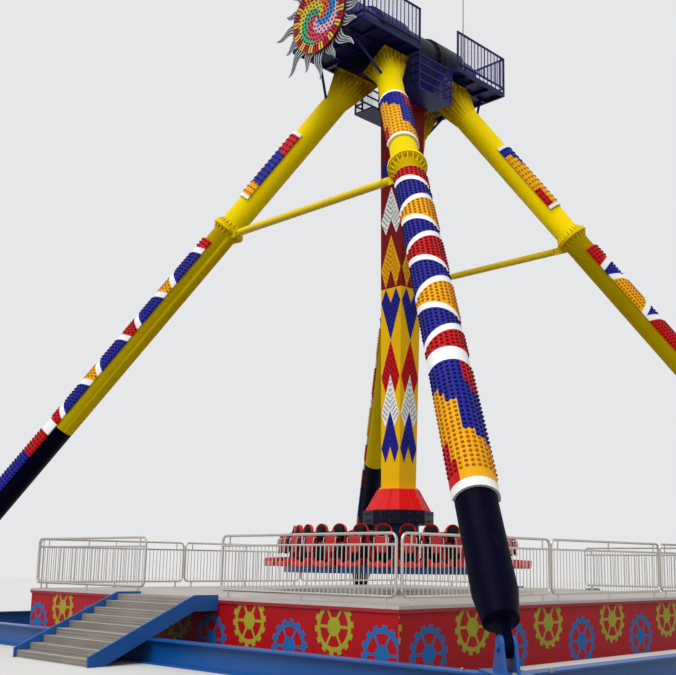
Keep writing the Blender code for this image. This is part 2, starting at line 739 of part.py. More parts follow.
def make_platforms():
    """A platform round each head: ribbed floor and two struts down to the legs."""
    notch_x = HEAD_HALF_X + GAP
    notch_y = HEAD_OUTER + GAP
    wide = PLATFORM_HALF_X
    outline = [(-wide, HEAD_INNER), (-notch_x, HEAD_INNER), (-notch_x, notch_y), (notch_x, notch_y),
               (notch_x, HEAD_INNER), (wide, HEAD_INNER), (wide, PLATFORM_REACH_Y), (-wide, PLATFORM_REACH_Y)]
    middle = (PLATFORM_BOTTOM + PLATFORM_TOP) / 2
    floor = plate("platform", outline, PLATFORM_THICKNESS, Matrix.Translation((0, 0, middle)))
    cells = pocket_grid((-wide, notch_y), (wide, PLATFORM_REACH_Y), 4, 2)
    cells += pocket_grid((notch_x, HEAD_INNER), (wide, notch_y), 1, 2)
    cells += pocket_grid((-wide, HEAD_INNER), (-notch_x, notch_y), 1, 2)
    combine(floor, [gather("cells", cells)], "DIFFERENCE")
    landing = PIN + ALONG * (LEG_LENGTH - STRUT_LEG_DISTANCE)
    pads = []
    for sign in (-1, 1):
        top = (sign * STRUT_X, STRUT_Y, PLATFORM_TOP - PLATFORM_PLATE / 2)
        strut = bar("strut", top, (sign * landing.x, landing.y, landing.z), STRUT_RADIUS, 8)
        around = loft("leg_cutter", [leg_ring(LEG_LENGTH - 2 * STRUT_LEG_DISTANCE, LEG_RADIUS + GAP),
                                     leg_ring(LEG_LENGTH - FLARE_LENGTH, LEG_RADIUS + GAP)])
        around.data.transform(Matrix.Diagonal((sign, 1, 1, 1)))
        if sign < 0:
            around.data.flip_normals()
        pads.append(combine(strut, [around], "DIFFERENCE"))
    combine(floor, [gather("struts", pads), make_platform_rail()])
    navy(floor)
    both_ends(floor, "platform", (0, HEAD_OUTER, PLATFORM_BOTTOM))


def make_platform_rail():
    """The frame of the railing on three sides of a platform, welded to its floor."""
    size = PLATFORM_RAIL_BAR
    floor = PLATFORM_TOP - PLATFORM_PLATE / 2
    top = PLATFORM_TOP + PLATFORM_RAIL_HEIGHT
    outer_x = PLATFORM_HALF_X
    inner_x = PLATFORM_HALF_X - size
    far_y = PLATFORM_REACH_Y
    near_y = HEAD_INNER
    uprights = [box("post", (sign * outer_x if sign < 0 else inner_x, y, floor),
                    (-inner_x if sign < 0 else outer_x, y + size, top))
                for sign in (-1, 1) for y in (near_y, far_y - size)]
    low = PLATFORM_TOP + PLATFORM_RAIL_LOW
    rails = []
    for z in (low, top - size):
        rails.append(box("rail", (-outer_x, near_y, z), (-inner_x, far_y, z + size)))
        rails.append(box("rail", (inner_x, near_y, z), (outer_x, far_y, z + size)))
        rails.append(box("rail", (-outer_x, far_y - size, z), (outer_x, far_y, z + size)))
    return combine(uprights[0], uprights[1:] + rails)


def ray_outline():
    """The outline of the wavy rays round the sun, with a long ray after each short one."""
    root = SUN_RADIUS - RAY_ROOT_INSET
    pitch = 2 * pi / RAY_COUNT
    width_shares = (0.42, 0.30, 0.17)
    reach_shares = (0.0, 0.40, 0.74)
    sway_shares = (0.0, 0.10, -0.05)
    points = []
    for ray in range(RAY_COUNT):
        reach = RAY_LONG if ray % 2 else RAY_SHORT
        middle = ray * pitch
        left = []
        right = []
        for width, out, sway in zip(width_shares, reach_shares, sway_shares):
            radius = root + reach * out
            left.append((radius, middle + (sway - width) * pitch))
            right.append((radius, middle + (sway + width) * pitch))
        tip = (root + reach, middle + 0.12 * pitch)
        points += [*left, tip, *reversed(right)]
    return [(radius * cos(angle), radius * sin(angle)) for radius, angle in points]


def make_sun():
    """The sun: a dished disc with a raised rim, and a ring of wavy rays on arms behind it."""
    centre_z = PIVOT_HEIGHT - SUN_DROP
    back_y = -(PLATFORM_REACH_Y + SUN_STANDOFF)
    rays_y = back_y - RAY_THICKNESS / 2
    frame = axes_frame((1, 0, 0), (0, 0, 1), (0, -1, 0), (0, rays_y, centre_z))
    rays = plate("sun_rays", ray_outline(), RAY_THICKNESS, frame)
    arms = []
    for sign in (-1, 1):
        x = sign * SUN_ARM_X
        z = (PLATFORM_BOTTOM + PLATFORM_TOP) / 2
        arms.append(box("arm", (x - SUN_ARM_SIZE / 2, rays_y, z - SUN_ARM_SIZE / 2),
                        (x + SUN_ARM_SIZE / 2, -(PLATFORM_REACH_Y + GAP), z + SUN_ARM_SIZE / 2)))
    combine(rays, [gather("arms", arms)])
    silver(set_origin(rays, (0, rays_y, centre_z)))
    face_y = back_y - RAY_THICKNESS - GAP
    dish = SUN_THICKNESS - SUN_DISH
    profile = [(0, dish), (SUN_RADIUS - 3 * SUN_RIM, dish), (SUN_RADIUS - SUN_RIM, SUN_THICKNESS),
               (SUN_RADIUS, SUN_THICKNESS), (SUN_RADIUS, 0), (0, 0)]
    disc = turned("sun_disc", profile, SUN_SIDES)
    disc.data.transform(axes_frame((1, 0, 0), (0, 0, 1), (0, -1, 0), (0, face_y, centre_z)))
    set_origin(disc, (0, face_y, centre_z))
    red(disc)


def turned(name, profile, sides):
    """A turned solid about Z from a profile of radius and height, from top to bottom."""
    mesh = bpy.data.meshes.new(name)
    mesh.from_pydata([(radius, 0, z) for radius, z in profile], [(k, k + 1) for k in range(len(profile) - 1)], [])
    thing = add_object(name, mesh)
    screw = thing.modifiers.new("turn", "SCREW")
    screw.steps = sides
    screw.render_steps = sides
    screw.use_merge_vertices = True
    screw.merge_threshold = 0.0001
    bpy.context.view_layer.update()
    return make_real(thing)


def make_rod():
    """The lightning rod: a thin pole on a round foot, on the rear platform."""
    floor = PLATFORM_TOP + GAP
    rod = bar("lightning_rod", (ROD_X, ROD_Y, floor), (ROD_X, ROD_Y, ROD_TOP), ROD_RADIUS, 8)
    foot = bar("foot", (ROD_X, ROD_Y, floor), (ROD_X, ROD_Y, floor + ROD_FOOT_THICKNESS), ROD_FOOT_RADIUS, 12)
    combine(rod, [foot])
    steel(set_origin(rod, (ROD_X, ROD_Y, floor)))


# Swinging pieces

def make_hub(swing):
    """The hub: a drum with two rims, its axle ends and the saddle that the arm hangs from."""
    seat_end = HEAD_INNER + LEG_PLATE_WIDTH * AXLE_SEAT_SHARE
    hub = bar("hub", (0, -HUB_HALF, PIVOT_HEIGHT), (0, HUB_HALF, PIVOT_HEIGHT), HUB_RADIUS, HUB_SIDES)
    rims = [bar("rim", (0, sign * (HUB_HALF - HUB_RIM_WIDTH), PIVOT_HEIGHT), (0, sign * HUB_HALF, PIVOT_HEIGHT),
                HUB_RIM_RADIUS, HUB_SIDES) for sign in (-1, 1)]
    axle = bar("axle", (0, -seat_end, PIVOT_HEIGHT), (0, seat_end, PIVOT_HEIGHT), AXLE_RADIUS, AXLE_SIDES)
    half = SADDLE_WIDTH / 2
    saddle = box("saddle", (-half, -half, ARM_TOP_Z), (half, half, PIVOT_HEIGHT))
    combine(hub, [gather("rims", rims), axle, saddle])
    navy(set_origin(hub, (0, 0, PIVOT_HEIGHT), swing))


def square(width, z):
    """A square ring about the arm's axis."""
    half = width / 2
    return [(-half, -half, z), (half, -half, z), (half, half, z), (-half, half, z)]


def make_arm(swing):
    """The square arm, narrowing downwards between two flange plates."""
    top = ARM_TOP_Z - GAP
    foot = ARM_FOOT_Z + GAP
    under_top = top - ARM_FLANGE_THICKNESS
    over_foot = foot + ARM_FLANGE_THICKNESS
    foot_flange = 2 * SKIRT_TOP_RADIUS * cos(pi / OCTAGON) * cos(pi / 4)
    arm = loft("arm", [square(foot_flange, foot), square(foot_flange, over_foot), square(ARM_FOOT_WIDTH, over_foot),
                       square(ARM_TOP_WIDTH, under_top), square(SADDLE_WIDTH, under_top), square(SADDLE_WIDTH, top)])
    arm_gold(set_origin(arm, (0, 0, PIVOT_HEIGHT), swing))


def make_baskets(swing):
    """A service basket on each side of the saddle."""
    floor_z = ARM_TOP_Z
    start_x = SADDLE_WIDTH / 2 + GAP
    inner_x = HUB_RIM_RADIUS + TURNING_GAP
    outer_x = BASKET_REACH
    post = BASKET_POST
    edge = BASKET_HALF_Y
    top = floor_z + BASKET_HEIGHT
    for name, sign in (("basket_left", -1), ("basket_right", 1)):
        basket = box(name, (start_x, -edge, floor_z), (outer_x, edge, floor_z + BASKET_FLOOR))
        bars = [box("post", (x, y, floor_z), (x + post, y + post, top))
                for x in (inner_x, outer_x - post) for y in (-edge, edge - post)]
        spacing = (BASKET_HEIGHT - post) / BASKET_RAILS
        rails = []
        for level in range(1, BASKET_RAILS + 1):
            z = floor_z + spacing * level
            rails.append(box("rail", (outer_x - post, -edge, z), (outer_x, edge, z + post)))
            for y in (-edge, edge - post):
                rails.append(box("rail", (inner_x, y, z), (outer_x, y + post, z + post)))
        combine(basket, bars + rails)
        if sign < 0:
            basket.data.transform(Matrix.Diagonal((-1, 1, 1, 1)))
            basket.data.flip_normals()
        navy(set_origin(basket, (sign * start_x, 0, floor_z), swing))


def octagon(radius, z):
    """An eight-sided ring about the arm's axis, with a corner at +X."""
    return [(x, y, z) for x, y in circle(radius, OCTAGON)]


def make_skirt(swing):
    """The eight-sided skirt at the arm's foot, with the spindle that the gondola turns on."""
    skirt = loft("skirt_cone", [octagon(SKIRT_FOOT_RADIUS, SKIRT_FOOT_Z), octagon(SKIRT_TOP_RADIUS, ARM_FOOT_Z)])
    spindle = bar("spindle", (0, 0, SKIRT_FOOT_Z + CUT_OVERRUN), (0, 0, SLEW_TOP_Z - SPINDLE_DEPTH),
                  SPINDLE_RADIUS, AXLE_SIDES)
    combine(skirt, [spindle])
    red(set_origin(skirt, (0, 0, ARM_FOOT_Z), swing))


# Spinning pieces

def make_slew_ring(spin):
    """The eight-sided slewing ring housing, with the bore for the spindle."""
    ring = loft("slew_ring", [octagon(SLEW_RADIUS, SLEW_FOOT_Z), octagon(SLEW_RADIUS, SLEW_TOP_Z)])
    bore_radius = (SPINDLE_RADIUS + SHAFT_CLEARANCE) / cos(pi / AXLE_SIDES)
    bore = bar("bore", (0, 0, SLEW_TOP_Z - SPINDLE_DEPTH - TURNING_GAP), (0, 0, SLEW_TOP_Z + CUT_OVERRUN),
               bore_radius, AXLE_SIDES)
    combine(ring, [bore], "DIFFERENCE")
    navy(set_origin(ring, (0, 0, SLEW_TOP_Z), spin))


def make_gondola_frame(spin):
    """The gondola's drum, and the flat frame round it: hub ring, spokes and seat ring."""
    top = SLEW_FOOT_Z - GAP
    foot = FRAME_TOP_Z - FRAME_RING_HEIGHT
    drum = bar("gondola_drum", (0, 0, foot), (0, 0, top), DRUM_RADIUS, DRUM_SIDES)
    navy(set_origin(drum, (0, 0, SLEW_FOOT_Z), spin))
    middle = Matrix.Translation((0, 0, (foot + FRAME_TOP_Z) / 2))
    start = SEAT_ANGLE / 2
    ring = plate("gondola_frame", circle(FRAME_RING_OUTER, SEATS, start=start), FRAME_RING_HEIGHT, middle,
                 [circle(FRAME_RING_INNER, SEATS, start=start)])
    bore = DRUM_RADIUS + GAP
    collar = plate("collar", circle(bore + COLLAR_WIDTH, DRUM_SIDES), FRAME_RING_HEIGHT, middle,
                   [circle(bore, DRUM_SIDES)])
    spokes = []
    half = SPOKE_WIDTH / 2
    for spoke in range(SPOKES):
        arm = box("spoke", (bore + COLLAR_WIDTH / 2, -half, foot), (FRAME_RING_INNER + half, half, FRAME_TOP_Z))
        arm.data.transform(Matrix.Rotation(2 * pi * (spoke + 0.5) / SPOKES, 4, "Z"))
        spokes.append(arm)
    combine(ring, [gather("spokes", spokes), collar])
    blue(set_origin(ring, (0, 0, FRAME_TOP_Z), spin))


def bucket_section(x, wing):
    """The U section of a seat bucket, with its wings at a given height."""
    half = SEAT_WIDTH / 2
    inner = half - SEAT_SHELL
    floor = SEAT_SHELL
    return [(x, -half, 0), (x, half, 0), (x, half, wing), (x, inner, wing), (x, inner, floor),
            (x, -inner, floor), (x, -inner, wing), (x, -half, wing)]


def make_seat():
    """One seat facing +X, with its bucket and arched back. Its floor is at zero."""
    stations = ((0.0, 0.55), (0.45, 1.0), (1.0, 0.40))
    rings = [bucket_section(SEAT_DEPTH * depth, SEAT_BUCKET_HEIGHT * wing) for depth, wing in stations]
    seat = loft("seat", rings)
    head = BACK_HEAD_WIDTH / 2
    shoulder = BACK_HEIGHT * BACK_SHOULDER_SHARE
    half = SEAT_WIDTH / 2
    outline = [(-half, SEAT_SHELL / 2), (half, SEAT_SHELL / 2), (half, shoulder),
               *arc(head, 0.0, pi, 6, (0, BACK_HEIGHT - head)), (-half, shoulder)]
    stand = axes_frame((0, 1, 0), (0, 0, 1), (1, 0, 0), (BACK_THICKNESS / 2, 0, 0))
    back = plate("back", outline, BACK_THICKNESS, LEAN @ stand)
    return combine(seat, [back])


def make_restraint():
    """A shoulder restraint: a bent tube from the hinge shaft, over the back and down to the lap."""
    hinge_z = BACK_HEIGHT * HINGE_SHARE
    behind = -RESTRAINT_BEHIND
    top = BACK_HEIGHT + RESTRAINT_RADIUS + RESTRAINT_SHOULDER_RISE
    half = RESTRAINT_HALF_WIDTH
    reach = RESTRAINT_REACH
    lap = RESTRAINT_LAP_HEIGHT
    side = [(behind, hinge_z), (behind, top - RESTRAINT_RADIUS), (0, top), (reach / 2, top),
            (reach, top - (top - lap) / 4), (reach + RESTRAINT_RADIUS, lap)]
    right = [LEAN @ Vector((x, half, z)) for x, z in side]
    left = [LEAN @ Vector((x, -half, z)) for x, z in reversed(side)]
    tube = bent_tube("restraint", right + left, RESTRAINT_RADIUS, RESTRAINT_TUBE_SIDES)
    block = box("block", (behind, -HINGE_BLOCK / 2, hinge_z - HINGE_RADIUS / 2),
                (-GAP, HINGE_BLOCK / 2, hinge_z + HINGE_RADIUS / 2))
    block.data.transform(LEAN)
    return gather("restraint", [tube, block])


def bank_angles(bank):
    """The angles of the seats in a bank."""
    middle = 2 * pi * bank / BANKS
    return [middle + (place - (SEATS_IN_BANK - 1) / 2) * SEAT_ANGLE for place in range(SEATS_IN_BANK)]


def around_ring(master, angles):
    """Copies of a piece, one for each seat angle, gathered into one object."""
    copies = []
    for angle in angles:
        copy = add_object("copy", master.data.copy())
        place = Matrix.Translation((SEAT_RING_RADIUS, 0, SEAT_FLOOR_Z - SEAT_SHELL / 2))
        copy.data.transform(Matrix.Rotation(angle, 4, "Z") @ place)
        copies.append(copy)
    return gather("copies", copies)


def make_seat_banks(spin):
    """Banks of seats on a bench strip, and the restraints of each bank on their hinge shaft."""
    seat = make_seat()
    restraint = make_restraint()
    hinge = LEAN @ Vector((-RESTRAINT_BEHIND, 0, BACK_HEIGHT * HINGE_SHARE))
    hinge_radius = (SEAT_RING_RADIUS + hinge.x) / cos(SEAT_ANGLE / 2)
    hinge_z = SEAT_FLOOR_Z - SEAT_SHELL / 2 + hinge.z
    for bank in range(BANKS):
        angles = bank_angles(bank)
        first = angles[0] - SEAT_ANGLE / 2
        last = angles[-1] + SEAT_ANGLE / 2
        trim = GAP / BENCH_INNER
        outer = arc(BENCH_OUTER, first + trim, last - trim, SEATS_IN_BANK)
        inner = arc(BENCH_INNER, last - trim, first + trim, SEATS_IN_BANK)
        bench = plate(f"seat_bank_{bank + 1}", outer + inner, BENCH_THICKNESS,
                      Matrix.Translation((0, 0, SEAT_FLOOR_Z - BENCH_THICKNESS / 2)))
        combine(bench, [around_ring(seat, angles)])
        red(set_origin(bench, (0, 0, SEAT_FLOOR_Z), spin))
        trim = HINGE_RADIUS / hinge_radius
        line = [(x, y, hinge_z) for x, y in arc(hinge_radius, first + trim, last - trim, SEATS_IN_BANK)]
        shaft = bent_tube(f"restraints_{bank + 1}", line, HINGE_RADIUS, RESTRAINT_TUBE_SIDES)
        combine(shaft, [around_ring(restraint, angles)])
        navy(set_origin(shaft, (0, 0, hinge_z), spin))
    bpy.data.objects.remove(seat, do_unlink=True)
    bpy.data.objects.remove(restraint, do_unlink=True)


# Deck, stairs and railings

def rectangle(half_x, half_y):
    """The corners of a rectangle, anticlockwise."""
    return [(-half_x, -half_y), (half_x, -half_y), (half_x, half_y), (-half_x, half_y)]


def make_deck():
    """The deck plate and the fascia wall that it stands on."""
    deck = box("deck", (-DECK_HALF_X, -DECK_HALF_Y, DECK_BOTTOM), (DECK_HALF_X, DECK_HALF_Y, DECK_TOP))
    pale(set_origin(deck, (0, 0, DECK_BOTTOM)))
    edge_x = DECK_HALF_X - FASCIA_INSET
    edge_y = DECK_HALF_Y - FASCIA_INSET
    thick = FASCIA_THICKNESS
    height = DECK_BOTTOM - GAP
    fascia = plate("fascia", rectangle(edge_x, edge_y), height, Matrix.Translation((0, 0, height / 2)),
                   [rectangle(edge_x - thick, edge_y - thick)])
    fascia_red(fascia)


def stair_edge_y(step):
    """The Y of a riser, counted from the ground, on the +Y side."""
    return DECK_HALF_Y + GAP + STAIR_LANDING + (STAIR_RISERS - 1 - step) * STAIR_RUN


def make_stairs():
    """A flight: one folded sheet of treads and risers between two stringers that span the beam."""
    top_line = []
    low_line = []
    sheet = STAIR_SHEET
    for step in range(STAIR_RISERS):
        y = stair_edge_y(step)
        top_line += [(y, step * STAIR_RISE), (y, (step + 1) * STAIR_RISE)]
        low_line += [(y - sheet, max(0.0, step * STAIR_RISE - sheet)), (y - sheet, (step + 1) * STAIR_RISE - sheet)]
    wall = DECK_HALF_Y + GAP
    outline = [*top_line, (wall, DECK_TOP), (wall, DECK_TOP - sheet), *reversed(low_line)]
    frame = axes_frame((0, 1, 0), (0, 0, 1), (1, 0, 0), (0, 0, 0))
    flight = plate("stairs", outline, STAIR_WIDTH, frame)
    foot_y = stair_edge_y(0)
    bend_y = stair_edge_y(STAIR_RISERS - 1)
    top_z = DECK_TOP + STRINGER_LIP
    slope = STAIR_RISE / STAIR_RUN
    drop = STRINGER_DEPTH
    side = [(wall, top_z), (wall, top_z - drop), (bend_y, top_z - drop),
            (bend_y + (top_z - drop) / slope, 0), (foot_y + STRINGER_LIP, 0),
            (foot_y + STRINGER_LIP, STAIR_RISE + STRINGER_LIP), (bend_y, top_z)]
    stringers = []
    for sign in (-1, 1):
        shift = sign * (STAIR_WIDTH / 2 + STRINGER_THICKNESS / 2 - GAP)
        stringers.append(plate("stringer", side, STRINGER_THICKNESS, Matrix.Translation((shift, 0, 0)) @ frame))
    combine(flight, [gather("stringers", stringers)])
    reach = STAIR_WIDTH / 2 + STRINGER_THICKNESS + CUT_OVERRUN
    notch = box("notch", (-reach, FOOT_HALF_Y - BEAM_WIDTH / 2 - GAP, -CUT_OVERRUN),
                (reach, FOOT_HALF_Y + BEAM_WIDTH / 2 + GAP, BEAM_HEIGHT + GAP))
    combine(flight, [notch], "DIFFERENCE")
    pale(flight)
    both_ends(flight, "stairs", (0, wall, 0))


def rail_loop(start, end):
    """The closed loop of a railing panel with rounded corners, upright over a line on the deck."""
    direction = (end - start).normalized()
    length = (end - start).length
    low = DECK_TOP + RAIL_BOTTOM_RISE
    high = DECK_TOP + RAIL_TOP_RISE
    corner = RAIL_CORNER
    steps = RAIL_CORNER_STEPS
    path = [*arc(corner, pi, 1.5 * pi, steps, (corner, low + corner)),
            *arc(corner, 1.5 * pi, 2 * pi, steps, (length - corner, low + corner)),
            *arc(corner, 0.0, 0.5 * pi, steps, (length - corner, high - corner)),
            *arc(corner, 0.5 * pi, pi, steps, (corner, high - corner))]
    return [start + direction * along + Vector((0, 0, z)) for along, z in path]


def rail_panel(start, end):
    """One railing panel: its loop, second rail and three feet."""
    direction = (end - start).normalized()
    second = DECK_TOP + RAIL_TOP_RISE - RAIL_SECOND_DROP
    loop = bent_tube("loop", rail_loop(start, end), RAIL_TUBE, RAIL_TUBE_SIDES, True)
    parts = [bar("second", start + Vector((0, 0, second)), end + Vector((0, 0, second)), RAIL_TUBE * 0.8, 6)]
    length = (end - start).length
    for along in (2 * RAIL_CORNER, length / 2, length - 2 * RAIL_CORNER):
        foot = start + direction * along + Vector((0, 0, DECK_TOP + GAP))
        parts.append(bar("post", foot, foot + Vector((0, 0, RAIL_BOTTOM_RISE)), RAIL_FOOT_RADIUS, 6))
    combine(loop, parts)
    return loop


def rail_clip(before, after):
    """The clip that joins two neighbouring panels at their second rail."""
    z = DECK_TOP + RAIL_TOP_RISE - RAIL_SECOND_DROP
    lift = Vector((0, 0, z))
    return bar("clip", before + lift, after + lift, RAIL_CLIP_HEIGHT / 2, 6)


def rail_run(name, start, end, panels):
    """A straight run of railing panels, joined by clips."""
    direction = (end - start).normalized()
    length = ((end - start).length - (panels - 1) * RAIL_PANEL_GAP) / panels
    spans = []
    for panel in range(panels):
        first = start + direction * panel * (length + RAIL_PANEL_GAP)
        spans.append((first, first + direction * length))
    rail = rail_panel(*spans[0])
    others = [rail_panel(*span) for span in spans[1:]]
    clips = [rail_clip(before[1], after[0]) for before, after in zip(spans, spans[1:])]
    if others:
        combine(rail, [gather("panels", others), gather("clips", clips)])
    rail.name = name
    return rail


def make_railings():
    """Railings round the deck, open at the stairs: a run on each side of both stairs and on each hand."""
    edge_x = DECK_HALF_X - RAIL_INSET
    edge_y = DECK_HALF_Y - RAIL_INSET
    stair = STAIR_WIDTH / 2 + RAIL_STAIR_CLEAR
    clear = RAIL_CORNER_CLEAR
    short_run = edge_x - clear - stair
    panels = max(1, round(2 * edge_y / short_run))
    side = rail_run("side", Vector((edge_x, clear - edge_y, 0)), Vector((edge_x, edge_y - clear, 0)), panels)
    for name, sign in (("railing_left", -1), ("railing_right", 1)):
        steel(set_origin(mirrored(side, name, sign, 1), (sign * edge_x, 0, DECK_TOP)))
    end = rail_run("end", Vector((stair, edge_y, 0)), Vector((edge_x - clear, edge_y, 0)), 1)
    steel(end)
    quarters(end, "railing", Vector((stair, edge_y, DECK_TOP)))
    bpy.data.objects.remove(side, do_unlink=True)


def make_ride():
    """Builds every piece of the ride."""
    clear_scene()
    swing = bpy.data.objects.new("swing_axis", None)
    swing.location = (0, 0, PIVOT_HEIGHT)
    spin = bpy.data.objects.new("spin_axis", None)
    spin.location = (0, 0, SLEW_TOP_Z - PIVOT_HEIGHT)
    spin.parent = swing
    RIDE.objects.link(swing)
    RIDE.objects.link(spin)
    bpy.context.view_layer.update()
    make_beams()
    make_feet()
    make_legs()
    make_ties()
    make_shells()
    make_heads()
    make_hoods()
    make_platforms()
    make_sun()
    make_rod()
    make_hub(swing)
    make_arm(swing)
    make_baskets(swing)
    make_skirt(swing)
    make_slew_ring(spin)
    make_gondola_frame(spin)
    make_seat_banks(spin)
    make_deck()
    make_stairs()
    make_railings()


make_ride()
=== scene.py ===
# %% [markdown]
# # A pendulum ride, dressed over its imported CAD model
#
# Two leaning A-frames carry a square arm that swings between them, and a ring of thirty seats spins at
# the arm's foot over a railed deck. The imported model gives every rigid piece its place and size. This
# lesson adds what the CAD leaves plain: the lamp panels, bolts, bars, padded seats and all the finishes.
# The first cell loads the imported model. Its pieces stay where they are, so everything made here is
# measured from them, and the box round them is printed.

# %% Load the imported model
import bmesh
import bpy
import numpy as np
from math import atan2, cos, hypot, pi, radians, sin
from mathutils import Matrix, Vector


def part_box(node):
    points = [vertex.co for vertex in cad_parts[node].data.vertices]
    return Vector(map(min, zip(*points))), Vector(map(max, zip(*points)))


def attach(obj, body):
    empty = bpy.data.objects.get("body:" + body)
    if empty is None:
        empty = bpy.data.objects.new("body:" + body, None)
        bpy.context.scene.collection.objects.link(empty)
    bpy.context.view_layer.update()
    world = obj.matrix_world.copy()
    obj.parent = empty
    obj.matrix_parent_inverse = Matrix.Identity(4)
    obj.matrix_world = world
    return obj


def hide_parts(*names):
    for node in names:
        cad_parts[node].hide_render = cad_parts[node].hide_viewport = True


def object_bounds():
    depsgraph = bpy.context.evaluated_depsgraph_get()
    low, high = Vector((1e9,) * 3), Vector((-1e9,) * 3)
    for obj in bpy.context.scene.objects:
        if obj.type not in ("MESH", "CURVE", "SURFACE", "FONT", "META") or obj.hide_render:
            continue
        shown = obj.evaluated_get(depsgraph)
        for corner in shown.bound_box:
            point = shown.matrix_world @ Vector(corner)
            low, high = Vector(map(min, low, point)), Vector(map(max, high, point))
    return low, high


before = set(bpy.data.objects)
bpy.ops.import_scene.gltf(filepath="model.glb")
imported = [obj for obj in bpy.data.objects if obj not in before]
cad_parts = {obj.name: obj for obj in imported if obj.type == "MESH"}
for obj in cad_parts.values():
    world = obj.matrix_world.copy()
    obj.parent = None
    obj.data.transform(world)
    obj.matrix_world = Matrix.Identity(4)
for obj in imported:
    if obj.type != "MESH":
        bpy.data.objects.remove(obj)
cad_low, cad_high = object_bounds()
print("CAD box:", [round(v, 3) for v in (*cad_low, *cad_high)])

# %% [markdown]
# ## Helpers for modelling as by hand
#
# An operator acts on all that is selected, so each piece starts with nothing selected. A primitive is
# added at its size and place, and then its place is put into its mesh, because a pattern that reads
# Object coordinates would slide on an object that stands somewhere else. Faces and points are chosen in
# code by where they are, which is the script's way of clicking on them.

# %% Add, choose and shape
def start_clean():
    """Leaves edit mode and deselects everything."""
    if bpy.context.object and bpy.context.object.mode == "EDIT":
        bpy.ops.object.mode_set(mode="OBJECT")
    bpy.ops.object.select_all(action="DESELECT")


def activate(piece):
    """Selects one piece alone and makes it the active one."""
    start_clean()
    piece.select_set(True)
    bpy.context.view_layer.objects.active = piece


def named(name):
    """Names the primitive just added, and puts its place, turn and size into its mesh."""
    piece = bpy.context.object
    piece.name = name
    piece.data.name = name
    bpy.ops.object.transform_apply(location=True, rotation=True, scale=True)
    return piece


def add_box(name, low, high):
    """A box between two corners."""
    start_clean()
    size = [b - a for a, b in zip(low, high)]
    middle = [(a + b) / 2 for a, b in zip(low, high)]
    bpy.ops.mesh.primitive_cube_add(size=1, location=middle, scale=size)
    return named(name)


def add_round(name, radius, start, end, sides):
    """A round bar between two points."""
    start_clean()
    line = Vector(end) - Vector(start)
    middle = (Vector(end) + Vector(start)) / 2
    turn = line.to_track_quat("Z", "Y").to_euler()
    bpy.ops.mesh.primitive_cylinder_add(vertices=sides, radius=radius, depth=line.length,
                                        location=middle, rotation=turn)
    return named(name)


def choose(piece, kind, test):
    """In edit mode, selects the points, edges or faces that pass a test."""
    bpy.ops.mesh.select_mode(type=kind)
    bpy.ops.mesh.select_all(action="DESELECT")
    shape = bmesh.from_edit_mesh(piece.data)
    items = {"VERT": shape.verts, "EDGE": shape.edges, "FACE": shape.faces}[kind]
    for item in items:
        item.select_set(test(item))
    shape.select_flush_mode()
    bmesh.update_edit_mesh(piece.data)


def edit(piece):
    """Opens one piece in edit mode with all of it selected."""
    activate(piece)
    bpy.ops.object.mode_set(mode="EDIT")
    bpy.ops.mesh.select_all(action="SELECT")


def close_edit():
    bpy.ops.object.mode_set(mode="OBJECT")


def face_towards(piece, direction):
    """Turns a flat piece over where its faces look away from a direction."""
    piece.data.update()
    if piece.data.polygons[0].normal.dot(direction) < 0:
        edit(piece)
        bpy.ops.mesh.flip_normals()
        close_edit()


def apply_modifier(piece, kind, **settings):
    """Adds a modifier with its settings, and applies it."""
    activate(piece)
    modifier = piece.modifiers.new(kind.lower(), kind)
    for setting, value in settings.items():
        setattr(modifier, setting, value)
    bpy.ops.object.modifier_apply(modifier=modifier.name)
    return piece


def join(name, pieces):
    """Joins separate pieces into one object."""
    start_clean()
    for piece in pieces:
        piece.select_set(True)
    bpy.context.view_layer.objects.active = pieces[0]
    bpy.ops.object.join()
    return named(name)


def twin(piece, name, sign_x, sign_y):
    """A mirrored copy in another quarter of the ride, with its normals turned outwards again."""
    activate(piece)
    bpy.ops.object.duplicate()
    bpy.context.object.scale = (sign_x, sign_y, 1)
    copy = named(name)
    if sign_x * sign_y < 0:
        edit(copy)
        bpy.ops.mesh.normals_make_consistent(inside=False)
        close_edit()
    return copy


print("helpers ready")

# %% [markdown]
# Lamps, bolts and railing bars are modelled once and then copied to hundreds of places. A copy with an
# operator for each place would take minutes, so the pattern's points are moved to all the places in one
# sum and written as one mesh. Each place is a frame with its own axes, and may pick another finish.

# %% Copy one pattern to many places
def lay_copies(name, pattern, places, picks=None):
    """One mesh of copies of a pattern, one for each place. The picks are the copies' material slots."""
    source = np.array([v.co for v in pattern.data.vertices])
    turns = np.array([[list(row)[:3] for row in place.to_3x3()] for place in places])
    shifts = np.array([list(place.translation) for place in places])
    points = np.einsum("mij,nj->mni", turns, source) + shifts[:, None, :]
    faces = []
    slots = []
    smooth = []
    for number in range(len(places)):
        first = number * len(source)
        for face in pattern.data.polygons:
            faces.append([first + v for v in face.vertices])
            slots.append(picks[number] if picks else face.material_index)
            smooth.append(face.use_smooth)
    mesh = bpy.data.meshes.new(name)
    mesh.from_pydata(points.reshape(-1, 3).tolist(), [], faces)
    mesh.polygons.foreach_set("material_index", slots)
    mesh.polygons.foreach_set("use_smooth", smooth)
    piece = bpy.data.objects.new(name, mesh)
    bpy.context.scene.collection.objects.link(piece)
    return piece


def place_at(point, out, up):
    """A frame at a point, with Z along out and Y as near as it can be to up."""
    z = Vector(out).normalized()
    x = Vector(up).cross(z).normalized()
    y = z.cross(x)
    rows = Matrix((x, y, z)).transposed().to_4x4()
    return Matrix.Translation(point) @ rows


def discard(*patterns):
    """Removes patterns that were only there to be copied."""
    for pattern in patterns:
        bpy.data.objects.remove(pattern, do_unlink=True)


print("copying ready")

